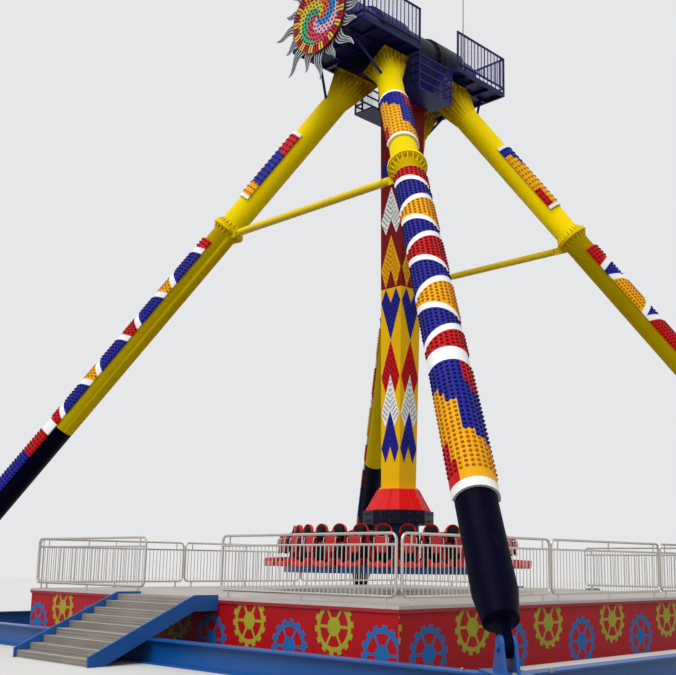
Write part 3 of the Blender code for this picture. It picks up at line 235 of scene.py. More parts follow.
# %% [markdown]
# ## Materials
#
# Each material starts from what the real one is. One function adds a node with its settings and links,
# and each finish is built from that. Where a pattern needs many sums, they are written as a table of
# named steps, and a loop adds their nodes. Colours are written as on a colour chart, in sRGB hex, and
# turned to the linear values that Blender wants.

# %% Colours and nodes
def linear(code):
    """Turns an sRGB hex colour into linear red, green, blue and alpha."""
    shares = [int(code[k:k + 2], 16) / 255 for k in (1, 3, 5)]
    return (*[s / 12.92 if s <= 0.04045 else ((s + 0.055) / 1.055) ** 2.4 for s in shares], 1)


def add_node(material, kind, sockets=None, **settings):
    """Adds a node. A socket's value is a number, a hex colour, or another node's output."""
    node = material.node_tree.nodes.new("ShaderNode" + kind)
    for setting, value in settings.items():
        setattr(node, setting, value)
    for socket, value in (sockets or {}).items():
        if isinstance(value, bpy.types.NodeSocket):
            material.node_tree.links.new(value, node.inputs[socket])
        else:
            node.inputs[socket].default_value = linear(value) if isinstance(value, str) else value
    return node


def new_material(name, **sockets):
    """A material with its Principled shader, whose sockets are given with underscores for spaces."""
    material = bpy.data.materials.new(name)
    material.use_nodes = True
    shader = material.node_tree.nodes["Principled BSDF"]
    for socket, value in sockets.items():
        shader.inputs[socket.replace("_", " ")].default_value = value
    return material, shader


def work_out(material, values, steps):
    """Adds a chain of sums. A step has its result's name, an operation and numbers or earlier results."""
    for result, operation, *terms in steps:
        sockets = {slot: values.get(term, term) for slot, term in enumerate(terms)}
        values[result] = add_node(material, "Math", sockets, operation=operation).outputs["Value"]
    return values


def plug(material, output, shader, socket):
    """Links an output into one of the shader's sockets."""
    material.node_tree.links.new(output, shader.inputs[socket])


print("yellow chip in linear values:", [round(v, 3) for v in linear("#F2D800")])

# %% [markdown]
# The steelwork is sprayed with two-pack gloss enamel. The eye reads it by its even, strong colour with a
# faint orange-peel skin, soft patches where the sun has bleached it, and thin streaks where rain has
# carried dust down. The orange peel is about 3 mm apart on the real paint, too fine to show from 25 m,
# so it is drawn at 40 mm. The streaks are a noise that is squeezed across and stretched down.

# %% Gloss enamel
PEEL_MM = 40
PATCH_MM = 1400
STREAK_MM = 160


def per_metre(millimetres):
    """The scale of a pattern in metres whose grains are this many millimetres apart."""
    return 1000 / millimetres


def weathered(material, base, streak):
    """Bleached patches and rain streaks over a colour, which is a socket or a hex code."""
    where = add_node(material, "TexCoord").outputs["Object"]
    patches = add_node(material, "TexNoise", {"Vector": where, "Scale": per_metre(PATCH_MM)})
    fade = add_node(material, "MapRange", {"Value": patches.outputs["Fac"], "From Min": 0.35,
                                           "From Max": 0.75, "To Min": 1.0, "To Max": 1.12})
    bleached = add_node(material, "HueSaturation", {"Color": base, "Value": fade.outputs["Result"]})
    stretched = add_node(material, "Mapping", {"Vector": where, "Scale": (1, 1, 0.08)})
    streaks = add_node(material, "TexNoise", {"Vector": stretched.outputs["Vector"],
                                              "Scale": per_metre(STREAK_MM), "Detail": 4.0})
    dirt = add_node(material, "MapRange", {"Value": streaks.outputs["Fac"], "From Min": 0.55,
                                           "From Max": 0.8, "To Min": 0.0, "To Max": streak})
    return add_node(material, "Mix", {"Factor": dirt.outputs["Result"],
                                      "A": bleached.outputs["Color"], "B": "#5A5040"},
                    data_type="RGBA").outputs["Result"]


def orange_peel(material, shader, millimetres=PEEL_MM, strength=0.08):
    """A faint skin over the paint, as a bump."""
    where = add_node(material, "TexCoord").outputs["Object"]
    peel = add_node(material, "TexNoise", {"Vector": where, "Scale": per_metre(millimetres),
                                           "Detail": 2.0})
    bump = add_node(material, "Bump", {"Strength": strength, "Distance": 0.004,
                                       "Height": peel.outputs["Fac"]})
    plug(material, bump.outputs["Normal"], shader, "Normal")


def spray(material, shader, colour, streak):
    """Puts a weathered colour and the orange peel on a material."""
    plug(material, weathered(material, colour, streak), shader, "Base Color")
    orange_peel(material, shader)


def enamel(name, colour, roughness=0.36, streak=0.12, gloss=0.3):
    """Sprayed enamel of one colour. Gloss is the strength of its reflections."""
    material, shader = new_material(name, Roughness=roughness, Specular_IOR_Level=gloss, Coat_Weight=0.06,
                                    Coat_Roughness=0.2)
    spray(material, shader, colour, streak)
    return material


yellow_enamel = enamel("yellow_gloss_enamel", "#F2D400")
navy_enamel = enamel("navy_gloss_enamel", "#1C1C62", 0.45, gloss=0.2)
dark_navy_enamel = enamel("dark_navy_gloss_enamel", "#07071E", 0.45, gloss=0.12)
blue_enamel = enamel("mid_blue_gloss_enamel", "#08569E")
red_enamel = enamel("red_gloss_enamel", "#DC0A0A", 0.45, gloss=0.08)
print("enamels:", [m.name for m in bpy.data.materials if "enamel" in m.name])

# %% [markdown]
# A leg is sprayed yellow above and navy below, with a sharp masked edge square to the leg. The four legs
# are mirror images, so the material folds the ride onto one quarter with absolute values and measures
# how far a point is along that leg from its foot pin. The leg's line is stated here once, from the foot
# pin to the middle of the head plate, and serves all the pieces on the legs. The flared tops are darkened
# brown in uneven streaks that fade out where the tube is round: painted shade under the head plate.

# %% Two-colour legs
# The brown of the painted shade on the flared tops, under the head plate
FLARE_SHADE = "#8A5A0C"
FOOT_PIN = Vector((9.94, -8.42, 0.8263))
LEG_TOP = Vector((0.54, -1.27, 15.53))
LEG_RADIUS = 0.343
NAVY_LENGTH = 6.0
LEG_LENGTH = (LEG_TOP - FOOT_PIN).length
FLARE_START = LEG_LENGTH - 0.95
SHADE_STREAK_MM = 110
ALONG = (LEG_TOP - FOOT_PIN).normalized()
PLAN = Vector((FOOT_PIN.x - LEG_TOP.x, FOOT_PIN.y - LEG_TOP.y, 0)).normalized()
RIGHT = Vector((-PLAN.y, PLAN.x, 0))
OUTWARD = RIGHT.cross(ALONG)


def two_colour_legs():
    """Gloss enamel, navy up to a masked edge and yellow over it."""
    material, shader = new_material("two_colour_leg_enamel", Roughness=0.45, Specular_IOR_Level=0.03)
    where = add_node(material, "TexCoord").outputs["Object"]
    folded = add_node(material, "VectorMath", {0: where}, operation="ABSOLUTE").outputs["Vector"]
    pin = (FOOT_PIN.x, -FOOT_PIN.y, FOOT_PIN.z)
    line = (ALONG.x, -ALONG.y, ALONG.z)
    from_pin = add_node(material, "VectorMath", {0: folded, 1: pin}, operation="SUBTRACT")
    distance = add_node(material, "VectorMath", {0: from_pin.outputs["Vector"], 1: line},
                        operation="DOT_PRODUCT").outputs["Value"]
    above = add_node(material, "Math", {0: distance, 1: NAVY_LENGTH}, operation="GREATER_THAN")
    two = add_node(material, "Mix", {"Factor": above.outputs["Value"], "A": "#03031A",
                                     "B": "#F2D400"}, data_type="RGBA")
    # Painted shade: the flare is darkened brown in uneven streaks towards the head plate, whose underside is
    # in shadow
    near_head = add_node(material, "MapRange", {"Value": distance, "From Min": FLARE_START + 0.05,
                                                "From Max": FLARE_START + 0.7}).outputs["Result"]
    shade_streaks = add_node(material, "Mapping", {"Vector": where, "Scale": (1, 1, 0.25)}).outputs["Vector"]
    shade_streaks = add_node(material, "TexNoise", {"Vector": shade_streaks, "Scale": per_metre(SHADE_STREAK_MM)}).outputs["Fac"]
    shade_streaks = add_node(material, "MapRange", {"Value": shade_streaks, "From Min": 0.3, "From Max": 0.6,
                                           "To Min": 0.35, "To Max": 0.9}).outputs["Result"]
    flare_shade_share = add_node(material, "Math", {0: near_head, 1: shade_streaks}, operation="MULTIPLY")
    shaded_two = add_node(material, "Mix", {"Factor": flare_shade_share.outputs["Value"], "A": two.outputs["Result"],
                                         "B": FLARE_SHADE}, data_type="RGBA")
    spray(material, shader, shaded_two.outputs["Result"], 0.04)
    return material


leg_enamel = two_colour_legs()
print("leg length:", round(LEG_LENGTH, 3))

# %% [markdown]
# The lamp caps are moulded polycarbonate, and the panels under them are sheet steel in the same colours.
# Moulded caps are smooth. They are drawn a good deal deeper in colour than the sheet behind them, as
# painted shade under each dome, so that each one reads as a dark dot. A slow noise over the ride gives a
# faint spread of tint from cap to cap. The four colours are blue, orange-yellow, red and white.

# %% Lamp caps and panel sheets
CAP_TINT_MM = 130
SHEET_COLOURS = {"blue": "#1E1E94", "orange": "#EEAA00", "red": "#C8040C", "white": "#F4F4F2"}
# Deeper tints than the sheets: painted shade under each domed cap
SHADED_CAP_COLOURS = {"blue": "#0E0E50", "orange": "#C27A00", "red": "#86020C", "white": "#84848A"}


def moulded_cap(name, colour):
    """Moulded polycarbonate in one tint."""
    material, shader = new_material(name, Roughness=0.35, Specular_IOR_Level=0.15)
    where = add_node(material, "TexCoord").outputs["Object"]
    tint = add_node(material, "TexNoise", {"Vector": where, "Scale": per_metre(CAP_TINT_MM)})
    value = add_node(material, "MapRange", {"Value": tint.outputs["Fac"], "From Min": 0.3,
                                            "From Max": 0.7, "To Min": 0.86, "To Max": 1.1})
    tinted = add_node(material, "HueSaturation", {"Color": colour,
                                                  "Value": value.outputs["Result"]})
    plug(material, tinted.outputs["Color"], shader, "Base Color")
    return material


CAPS = [moulded_cap(f"moulded_{tint}_lamp_cap", code) for tint, code in SHADED_CAP_COLOURS.items()]
SHEETS = [enamel(f"{tint}_panel_sheet", code, 0.45, 0.06, 0.1) for tint, code in SHEET_COLOURS.items()]
BLUE, ORANGE, RED, WHITE = range(4)
print("lamp tints:", list(SHADED_CAP_COLOURS))

# %% [markdown]
# The camera comes from a fit of the ride's feet, head, deck and seat ring to the photograph. It stands
# at a person's eye height in front of one leg and looks up. The picture's middle isn't the lens's middle,
# so the lens is shifted by the difference.

# %% Camera
PHOTO_WIDTH = 676
PHOTO_HEIGHT = 675
EYE = Vector((18.531, -19.791, 1.934))
YAW = radians(43.21)
PITCH = radians(9.96)
ROLL = radians(0.65)
FOCAL_PIXELS = 1005.25
LENS_MIDDLE = (398.0, 387.5)
SENSOR = 36.0

ahead = Vector((-sin(YAW) * cos(PITCH), cos(YAW) * cos(PITCH), sin(PITCH)))
level = Vector((cos(YAW), sin(YAW), 0))
upright = level.cross(ahead)
camera_x = cos(ROLL) * level + sin(ROLL) * upright
camera_y = cos(ROLL) * upright - sin(ROLL) * level
camera_data = bpy.data.cameras.new("camera")
camera_data.sensor_width = SENSOR
camera_data.lens = FOCAL_PIXELS * SENSOR / PHOTO_WIDTH
camera_data.shift_x = (PHOTO_WIDTH / 2 - LENS_MIDDLE[0]) / PHOTO_WIDTH
camera_data.shift_y = (LENS_MIDDLE[1] - PHOTO_HEIGHT / 2) / PHOTO_WIDTH
camera_data.clip_end = 500
camera = bpy.data.objects.new("camera", camera_data)
camera.matrix_world = Matrix.Translation(EYE) @ Matrix((camera_x, camera_y, -ahead)).transposed().to_4x4()
bpy.context.scene.collection.objects.link(camera)
bpy.context.scene.camera = camera
print("lens:", round(camera_data.lens, 2), "mm")

# %% [markdown]
# The stage is a plain pale floor under an overcast sky, as a product would stand in a daylight studio. A
# large soft lamp high on the sun disc's side gives the direction that the photograph has: the faces
# towards it are bright, and the undersides stay dark. The world lights the object evenly, and only rays
# from the camera, mirrors and glass see it as near white.

# %% Floor, world and lamp
FLOOR_HALF = 90.0
SKY_SEEN = "#E6E7E9"


def seen_directly(target):
    """Is one for rays from the camera, mirrors and glass, and nought for rays that only carry light."""
    rays = add_node(target, "LightPath").outputs
    seen = add_node(target, "Math", {0: rays["Is Camera Ray"], 1: rays["Is Glossy Ray"]},
                    operation="MAXIMUM").outputs["Value"]
    return add_node(target, "Math", {0: seen, 1: rays["Is Transmission Ray"]},
                    operation="MAXIMUM").outputs["Value"]


def matte_floor():
    """Trowelled pale concrete, which throws up only as much light as dull paving would."""
    material, shader = new_material("pale_trowelled_floor", Roughness=0.85)
    where = add_node(material, "TexCoord").outputs["Object"]
    clouds = add_node(material, "TexNoise", {"Vector": where, "Scale": 0.2})
    mixed = add_node(material, "Mix", {"Factor": clouds.outputs["Fac"], "A": "#D2D0CC",
                                       "B": "#DEDCD8"}, data_type="RGBA")
    shown = add_node(material, "Mix", {"Factor": seen_directly(material), "A": "#5A5854",
                                       "B": mixed.outputs["Result"]}, data_type="RGBA")
    plug(material, shown.outputs["Result"], shader, "Base Color")
    return material


start_clean()
bpy.ops.mesh.primitive_plane_add(size=2 * FLOOR_HALF, location=(0, 0, cad_low.z - 0.001))
ground = named("floor")
ground.data.materials.append(matte_floor())

world = bpy.data.worlds.new("daylight_studio")
world.use_nodes = True
bpy.context.scene.world = world
background = world.node_tree.nodes["Background"]
shown = add_node(world, "Background", {"Color": SKY_SEEN, "Strength": 1.0})
background.inputs["Color"].default_value = linear("#F2F5FA")
background.inputs["Strength"].default_value = 0.7
both = add_node(world, "MixShader", {0: seen_directly(world)})
world.node_tree.links.new(background.outputs[0], both.inputs[1])
world.node_tree.links.new(shown.outputs[0], both.inputs[2])
world.node_tree.links.new(both.outputs[0], world.node_tree.nodes["World Output"].inputs["Surface"])

sky_lamp = bpy.data.lights.new("sky_lamp", "SUN")
sky_lamp.energy = 1.9
sky_lamp.angle = radians(50)
sky = bpy.data.objects.new("sky_lamp", sky_lamp)
sky.rotation_euler = Vector((0.12, -0.75, 1.0)).to_track_quat("Z", "Y").to_euler()
bpy.context.scene.collection.objects.link(sky)
bpy.context.scene.view_settings.view_transform = "Standard"
print("stage set")

# %% [markdown]
# ## Light panels on the legs
#
# On the outward half of each leg a shell of bent steel sheet carries twelve columns of lamps. Slanting
# white bands part it into blocks of colour, and the lowest part steps from blue to orange and red. The
# shell is laid out flat, as a sheet worker would: a grid of twelve columns, cut by the bisect operator
# along both edges of every band, painted block by block, and then wrapped round the leg and given its
# thickness. Here across counts columns from the left edge, seen from outside, and distance is measured
# from the foot pin along the leg.

# %% The flat layout
COLUMNS = 12
BAND_HALF = 0.088
BANDS = [(12.20, 11.86), (10.98, 11.52), (10.62, 10.14), (9.51, 9.99), (9.08, 8.63), (7.85, 8.43),
         (7.51, 7.03), (6.35, 6.89)]
BLOCKS = [RED, BLUE, ORANGE, BLUE, RED, BLUE, ORANGE, BLUE, RED]
WIDE_BAND = (5.70, 6.06)
FOOT_BAND_TOP = 2.86
FOOT_RIM_TOP = 2.98
PANEL_RIM = 0.34
ORANGE_TOPS = [5.10, 5.10, 4.90, 4.68, 4.68, 3.95, 3.95, 3.78, 3.78, 3.70, 3.62, 3.62]
RED_ENDS = [None, None, None, None, None, None, None, 5.15, 4.95, 4.95, 4.95, 4.95]
RED_LOW_TOPS = [3.80, 3.80, 3.33, None, None, None, None, None, None, None, None, None]


def lower_colour(across, distance, steps_turned=False):
    """The colour of the lower light panel at a place on its flat layout."""
    if distance > WIDE_BAND[1]:
        for number, (left, right) in enumerate(BANDS):
            middle = left + (right - left) * across / COLUMNS
            if distance > middle + BAND_HALF:
                return BLOCKS[number]
            if distance > middle - BAND_HALF:
                return WHITE
        return BLOCKS[-1]
    column = min(int(COLUMNS - across if steps_turned else across), COLUMNS - 1)
    if distance > WIDE_BAND[0] or distance < FOOT_BAND_TOP:
        return WHITE
    if RED_LOW_TOPS[column] and distance < RED_LOW_TOPS[column]:
        return RED
    if distance < ORANGE_TOPS[column]:
        return ORANGE
    if RED_ENDS[column] and distance > RED_ENDS[column]:
        return RED
    return BLUE


UPPER_ORANGE_TOPS = [16.10, 16.10, 15.95, 15.70, 15.70, 15.60, 14.75, 14.75, 14.62, 14.62, 14.60, 14.60]
UPPER_RED_ENDS = [None, None, None, None, None, None, None, 16.2, 15.8, 15.8, 15.7, 15.7]
UPPER_RED_TOPS = [14.80, 14.80, None, None, None, None, None, None, None, None, None, None]
UPPER_WHITE_TOP = 0.1


def upper_colour(across, distance):
    """The colour of the upper light panel at a place on its flat layout."""
    column = min(int(across), COLUMNS - 1)
    if distance > upper_top - UPPER_WHITE_TOP or distance < upper_foot + UPPER_WHITE_TOP:
        return WHITE
    if UPPER_RED_TOPS[column] and distance < UPPER_RED_TOPS[column]:
        return RED
    if distance < UPPER_ORANGE_TOPS[column]:
        return ORANGE
    if UPPER_RED_ENDS[column] and distance > UPPER_RED_ENDS[column]:
        return RED
    return BLUE


def lower_colour_turned(across, distance):
    """The lower panel's colours for a leg that is a mirror image, with its steps the other way round."""
    return lower_colour(across, distance, steps_turned=True)


def upper_colour_turned(across, distance):
    """The upper panel's colours for a leg that is a mirror image."""
    return upper_colour(COLUMNS - across, distance)


print("bands on the lower panel:", len(BANDS) + 2)

# %% [markdown]
# The wrap reads the corners of the CAD shell, so that the finished shell sits in exactly the same place.
# The legs are mirror images, and so are the zigzags of bands round them. The stepped blocks aren't: they
# step the same way round on every leg. So a panel is made twice on the front right leg, once as it is
# and once with its steps turned, and the turned one is mirrored to the two legs beside it.

# %% Cut, paint and wrap a panel
QUARTERS = {"front_right": (1, 1), "front_left": (-1, 1), "rear_right": (1, -1), "rear_left": (-1, -1)}
ROW_PITCH = 0.105
SHELL_SKIN = 0.045


def leg_place(point):
    """A point's distance along the front right leg, and its offset from the leg's axis."""
    offset = Vector(point) - FOOT_PIN
    return offset.dot(ALONG), offset.dot(RIGHT), offset.dot(OUTWARD)


def shell_shape(node):
    """The distances of a CAD shell's two ends, its radius and the angles of its corners."""
    spots = [leg_place(v.co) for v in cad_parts[node].data.vertices]
    reach = max(hypot(right, out) for _, right, out in spots)
    outer = [(d, atan2(right, out)) for d, right, out in spots if hypot(right, out) > reach - 0.01]
    angles = sorted({round(angle, 3) for _, angle in outer})
    kept = [angles[0]] + [b for a, b in zip(angles, angles[1:]) if b - a > 0.05]
    return min(d for d, _ in outer), max(d for d, _ in outer), reach, kept


def wrap(across, distance, lift, reach, corners):
    """A place on the flat layout, wrapped on the leg's facets."""
    column = max(0, min(int(across), COLUMNS - 1))
    share = across - column
    first, second = (Vector((sin(a), 0, cos(a))) * (reach + lift) for a in corners[column:column + 2])
    flat = first.lerp(second, share)
    return FOOT_PIN + ALONG * distance + RIGHT * flat.x + OUTWARD * flat.z


def cut_sheet(name, foot, top, cuts):
    """A flat grid with a column for each column of lamps, cut along lines that may slant."""
    start_clean()
    rows = round((top - foot) / ROW_PITCH)
    bpy.ops.mesh.primitive_grid_add(x_subdivisions=COLUMNS, y_subdivisions=rows, size=1)
    sheet = named(name)
    edit(sheet)
    bpy.ops.transform.resize(value=(COLUMNS, top - foot, 1))
    bpy.ops.transform.translate(value=(COLUMNS / 2, (foot + top) / 2, 0))
    for left, right in cuts:
        bpy.ops.mesh.select_all(action="SELECT")
        square_to_cut = Vector((left - right, COLUMNS, 0)).normalized()
        bpy.ops.mesh.bisect(plane_co=(0, left, 0), plane_no=square_to_cut)
    close_edit()
    return sheet


def make_panel(name, node, cuts, colour_at):
    """One light panel on the front right leg: cut flat, painted, wrapped and thickened."""
    foot, top, reach, corners = shell_shape(node)
    sheet = cut_sheet(name, foot, top, cuts)
    for tint in SHEETS:
        sheet.data.materials.append(tint)
    for face in sheet.data.polygons:
        face.material_index = colour_at(face.center.x, face.center.y)
    for v in sheet.data.vertices:
        v.co = wrap(v.co.x, v.co.y, 0, reach, corners)
    edit(sheet)
    bpy.ops.mesh.normals_make_consistent(inside=False)
    close_edit()
    face_towards(sheet, OUTWARD)
    apply_modifier(sheet, "SOLIDIFY", thickness=SHELL_SKIN, offset=-1)
    return sheet


upper_foot, upper_top, *_ = shell_shape("lights_upper_front_right")
lower_cuts = [(left + side, right + side) for left, right in BANDS for side in (-BAND_HALF, BAND_HALF)]
lower_levels = {*WIDE_BAND, FOOT_BAND_TOP, FOOT_RIM_TOP, *ORANGE_TOPS,
                *filter(None, RED_ENDS), *filter(None, RED_LOW_TOPS)}
lower_cuts += [(edge, edge) for edge in sorted(lower_levels)]
upper_levels = {upper_foot + UPPER_WHITE_TOP, upper_top - UPPER_WHITE_TOP, *UPPER_ORANGE_TOPS,
                *filter(None, UPPER_RED_ENDS), *filter(None, UPPER_RED_TOPS)}
upper_cuts = [(edge, edge) for edge in sorted(upper_levels)]
LOWER_SHELL, UPPER_SHELL = "lights_lower_front_right", "lights_upper_front_right"
lower_panel = make_panel("light_panel_lower_front_right", LOWER_SHELL, lower_cuts, lower_colour)
upper_panel = make_panel("light_panel_upper_front_right", UPPER_SHELL, upper_cuts, upper_colour)
lower_turned = make_panel("lower_turned", LOWER_SHELL, lower_cuts, lower_colour_turned)
upper_turned = make_panel("upper_turned", UPPER_SHELL, upper_cuts, upper_colour_turned)
print("panel faces:", len(lower_panel.data.polygons), len(upper_panel.data.polygons))

# %% [markdown]
# Every finished piece goes through one function, which gives it its materials, shades it by angle, puts
# it on its body and hides the CAD node that it stands for.

# %% Finish a piece
def finish(piece, body, materials=None, replaces=(), angle=35):
    """Gives a piece its materials, smooth shading, body and the nodes it stands for."""
    for material in materials or []:
        piece.data.materials.append(material)
    if angle:
        activate(piece)
        bpy.ops.object.shade_smooth_by_angle(angle=radians(angle))
    start_clean()
    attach(piece, body)
    if replaces:
        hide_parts(*replaces)
    return piece


def finish_quarters(piece, stem, body, materials=None, replaces=None, angle=35, beside=None):
    """Mirrors a piece of the front right leg to the others, or another piece to the two legs beside it."""
    pieces = [piece]
    for quarter, (sign_x, sign_y) in QUARTERS.items():
        if quarter != "front_right":
            source = beside if beside and sign_x * sign_y < 0 else piece
            pieces.append(twin(source, f"{stem}_{quarter}", sign_x, sign_y))
    for part, quarter in zip(pieces, QUARTERS):
        nodes = [f"{replaces}_{quarter}"] if replaces else []
        finish(part, body, materials, nodes, angle)
    return pieces


finish_quarters(lower_panel, "light_panel_lower", "base_frame",
                replaces="lights_lower", angle=20, beside=lower_turned)
finish_quarters(upper_panel, "light_panel_upper", "base_frame",
                replaces="lights_upper", angle=20, beside=upper_turned)
discard(lower_turned, upper_turned)
print("light panels on four legs")

# %% [markdown]
# A lamp is a small domed cap on a flat base. Half a sphere is cut from a whole one with bisect, which
# also closes its foot, and is pressed a little flatter. With eight sides it keeps its round outline at
# this distance, and four thousand of them stay light. Each cap takes the colour of the block under it,
# and the smooth white bands carry none. Down each column the rows start again under every band, so they
# run along with the band's slant, as the strips of lamps do on the real panels. The upper panels have
# flatter caps further apart, so that from below each one still shows by itself.

# %% Lamp caps on the panels
CAP_RADIUS = 0.033
CAP_HEIGHT = 0.034
CAP_CLEAR = 0.05
UPPER_ROW_PITCH = 0.155
FLAT_CAP_RADIUS = 0.03
FLAT_CAP_HEIGHT = 0.02
SEARCH_STEP = 0.01


def lamp_cap(name, radius, height, sides, rings):
    """Half a sphere, pressed to its height, with its flat foot on z = 0."""
    start_clean()
    bpy.ops.mesh.primitive_uv_sphere_add(segments=sides, ring_count=rings, radius=radius)
    cap = named(name)
    edit(cap)
    bpy.ops.mesh.bisect(plane_co=(0, 0, 0), plane_no=(0, 0, 1), clear_inner=True, use_fill=True)
    bpy.ops.mesh.select_all(action="SELECT")
    bpy.ops.transform.resize(value=(1, 1, height / radius))
    bpy.ops.mesh.normals_make_consistent(inside=False)
    close_edit()
    bpy.ops.object.shade_smooth()
    return cap


def column_rows(colour_at, across, foot, top, pitch):
    """The distances of a column's lamps, counted down from the top of each coloured block."""
    found = []
    distance = top
    below_band = True
    while distance > foot:
        if colour_at(across, distance) == WHITE:
            distance -= SEARCH_STEP
            below_band = True
            continue
        if below_band:
            distance -= CAP_CLEAR + SEARCH_STEP
            below_band = False
        ends = (colour_at(across, distance), colour_at(across, distance - CAP_CLEAR))
        if distance > foot and WHITE not in ends:
            found.append(distance)
        distance -= pitch
    return found


def panel_lamps(name, node, cap, colour_at, foot_clear, pitch):
    """A cap for each column and row of a light panel that isn't on a white band."""
    foot, top, reach, corners = shell_shape(node)
    places = []
    picks = []
    for column in range(COLUMNS):
        across = column + 0.5
        angle = (corners[column] + corners[column + 1]) / 2
        out = RIGHT * sin(angle) + OUTWARD * cos(angle)
        for distance in column_rows(colour_at, across, foot + foot_clear, top, pitch):
            places.append(place_at(wrap(across, distance, 0, reach, corners), out, ALONG))
            picks.append(colour_at(across, distance))
    return lay_copies(name, cap, places, picks)


cap = lamp_cap("cap", CAP_RADIUS, CAP_HEIGHT, 8, 6)
flat_cap = lamp_cap("flat_cap", FLAT_CAP_RADIUS, FLAT_CAP_HEIGHT, 8, 6)
upper_rim = UPPER_WHITE_TOP + 0.01
lower_lamps = panel_lamps("lamps_lower_front_right", LOWER_SHELL, cap, lower_colour, PANEL_RIM, ROW_PITCH)
upper_lamps = panel_lamps("lamps_upper_front_right", UPPER_SHELL, flat_cap, upper_colour, upper_rim,
                          UPPER_ROW_PITCH)
lower_lamps_turned = panel_lamps("lower_lamps_turned", LOWER_SHELL, cap, lower_colour_turned, PANEL_RIM,
                                 ROW_PITCH)
upper_lamps_turned = panel_lamps("upper_lamps_turned", UPPER_SHELL, flat_cap, upper_colour_turned, upper_rim,
                                 UPPER_ROW_PITCH)
print("lamp faces on one leg:", len(lower_lamps.data.polygons) + len(upper_lamps.data.polygons))
finish_quarters(lower_lamps, "lamps_lower", "base_frame", CAPS, angle=None,
                beside=lower_lamps_turned)
finish_quarters(upper_lamps, "lamps_upper", "base_frame", CAPS, angle=None,
                beside=upper_lamps_turned)
discard(cap, flat_cap, lower_lamps_turned, upper_lamps_turned)

# %% [markdown]
# ## Panels on the arm
#
# Each face of the arm carries a column of six-cornered sheet panels, points up or points down. Such a
# panel is a filled circle of six corners whose corners are slid to their places on the arm's sloping
# face, and Solidify gives it the sheet's thickness. A place on a face is a share across it, from the left
# seen from outside, and a height.

# %% Arm panels
ARM_TOP = 14.75
ARM_FOOT = 3.95
ARM_TOP_HALF = 0.445
ARM_FOOT_HALF = 0.33
PANEL_SHEET = 0.016
SHARES_UP = (0.5, 0.957, 0.745, 0.5, 0.255, 0.04)
# Heights of a panel's tip, its widest points, its two far points and the notch between them
ARM_PANELS = [(BLUE, -1, 12.351, 12.86, 13.208, 12.95), (WHITE, 1, 12.339, 11.367, 10.984, 11.417),
              (ORANGE, 1, 10.935, 9.968, 9.437, 9.979), (BLUE, -1, 7.994, 9.043, 9.400, 8.995),
              (RED, 1, 7.935, 6.936, 6.512, 7.002), (WHITE, 1, 7.002, 5.908, 5.568, 6.009),
              (BLUE, 1, 6.009, 5.000, 4.618, 5.065)]
FACES = {"front": Vector((0, -1, 0)), "right": Vector((1, 0, 0)), "rear": Vector((0, 1, 0)),
         "left": Vector((-1, 0, 0))}


def arm_half(z):
    """Half the arm's width at a height."""
    return ARM_FOOT_HALF + (ARM_TOP_HALF - ARM_FOOT_HALF) * (z - ARM_FOOT) / (ARM_TOP - ARM_FOOT)


def on_arm(out, share, z, lift=0.0):
    """A place on one of the arm's faces."""
    side = Vector((0, 0, 1)).cross(out)
    half = arm_half(z)
    return out * (half + lift) + side * (2 * share - 1) * half + Vector((0, 0, z))


def panel_outline(tip, wide, ends, notch):
    """The six corners of a panel, as shares across the face and heights."""
    return list(zip(SHARES_UP, (tip, wide, ends, notch, ends, wide)))


def arm_panel(out, tint, outline):
    """One sheet panel on a face of the arm."""
    start_clean()
    bpy.ops.mesh.primitive_circle_add(vertices=len(outline), fill_type="NGON")
    panel = named("arm_panel")
    for v, (share, z) in zip(panel.data.vertices, outline):
        v.co = on_arm(out, share, z)
    face_towards(panel, out)
    apply_modifier(panel, "SOLIDIFY", thickness=PANEL_SHEET, offset=1)
    panel.data.materials.append(SHEETS[tint])
    return panel


for face, out in FACES.items():
    panels = [arm_panel(out, row[0], panel_outline(*row[2:])) for row in ARM_PANELS]
    sheet = join(f"arm_panels_{face}", panels)
    finish(sheet, "pendulum", angle=None)
print("arm panels:", len(ARM_PANELS) * len(FACES))

# %% [markdown]
# The arm's lamps are smaller and stand in rows that follow the panels' points like a herringbone. A lamp
# is kept where a small cross round it lies inside the panel's outline, which is tested by counting how
# often a line to the right crosses the outline's edges.

# %% Lamps on the arm panels
ARM_CAP_RADIUS = 0.022
ARM_CAP_HEIGHT = 0.02
ARM_PITCH = 0.078
ARM_ROW_SLOPE = 0.9
ARM_CAP_CLEAR = 0.035


def inside(outline, across, height):
    """True where a point lies inside an outline."""
    crossings = 0
    for (x1, z1), (x2, z2) in zip(outline, outline[1:] + outline[:1]):
        if (z1 > height) != (z2 > height) and across < x1 + (height - z1) * (x2 - x1) / (z2 - z1):
            crossings += 1
    return crossings % 2 == 1


def herringbone(outline, turn):
    """Places for lamps inside a panel, as shares across the face and heights."""
    heights = [z for _, z in outline]
    middle = (min(heights) + max(heights)) / 2
    metres = [((share - 0.5) * 2 * arm_half(middle), z) for share, z in outline]
    found = []
    for row in range(int(min(heights) / ARM_PITCH) - 12, int(max(heights) / ARM_PITCH) + 12):
        for step in range(-6, 7):
            x = (step + 0.5 * (row % 2)) * ARM_PITCH
            z = row * ARM_PITCH - turn * ARM_ROW_SLOPE * abs(x)
            cross = ((x, z), (x + ARM_CAP_CLEAR, z), (x - ARM_CAP_CLEAR, z), (x, z + ARM_CAP_CLEAR),
                     (x, z - ARM_CAP_CLEAR))
            if all(inside(metres, *point) for point in cross):
                found.append((x / (2 * arm_half(z)) + 0.5, z))
    return found


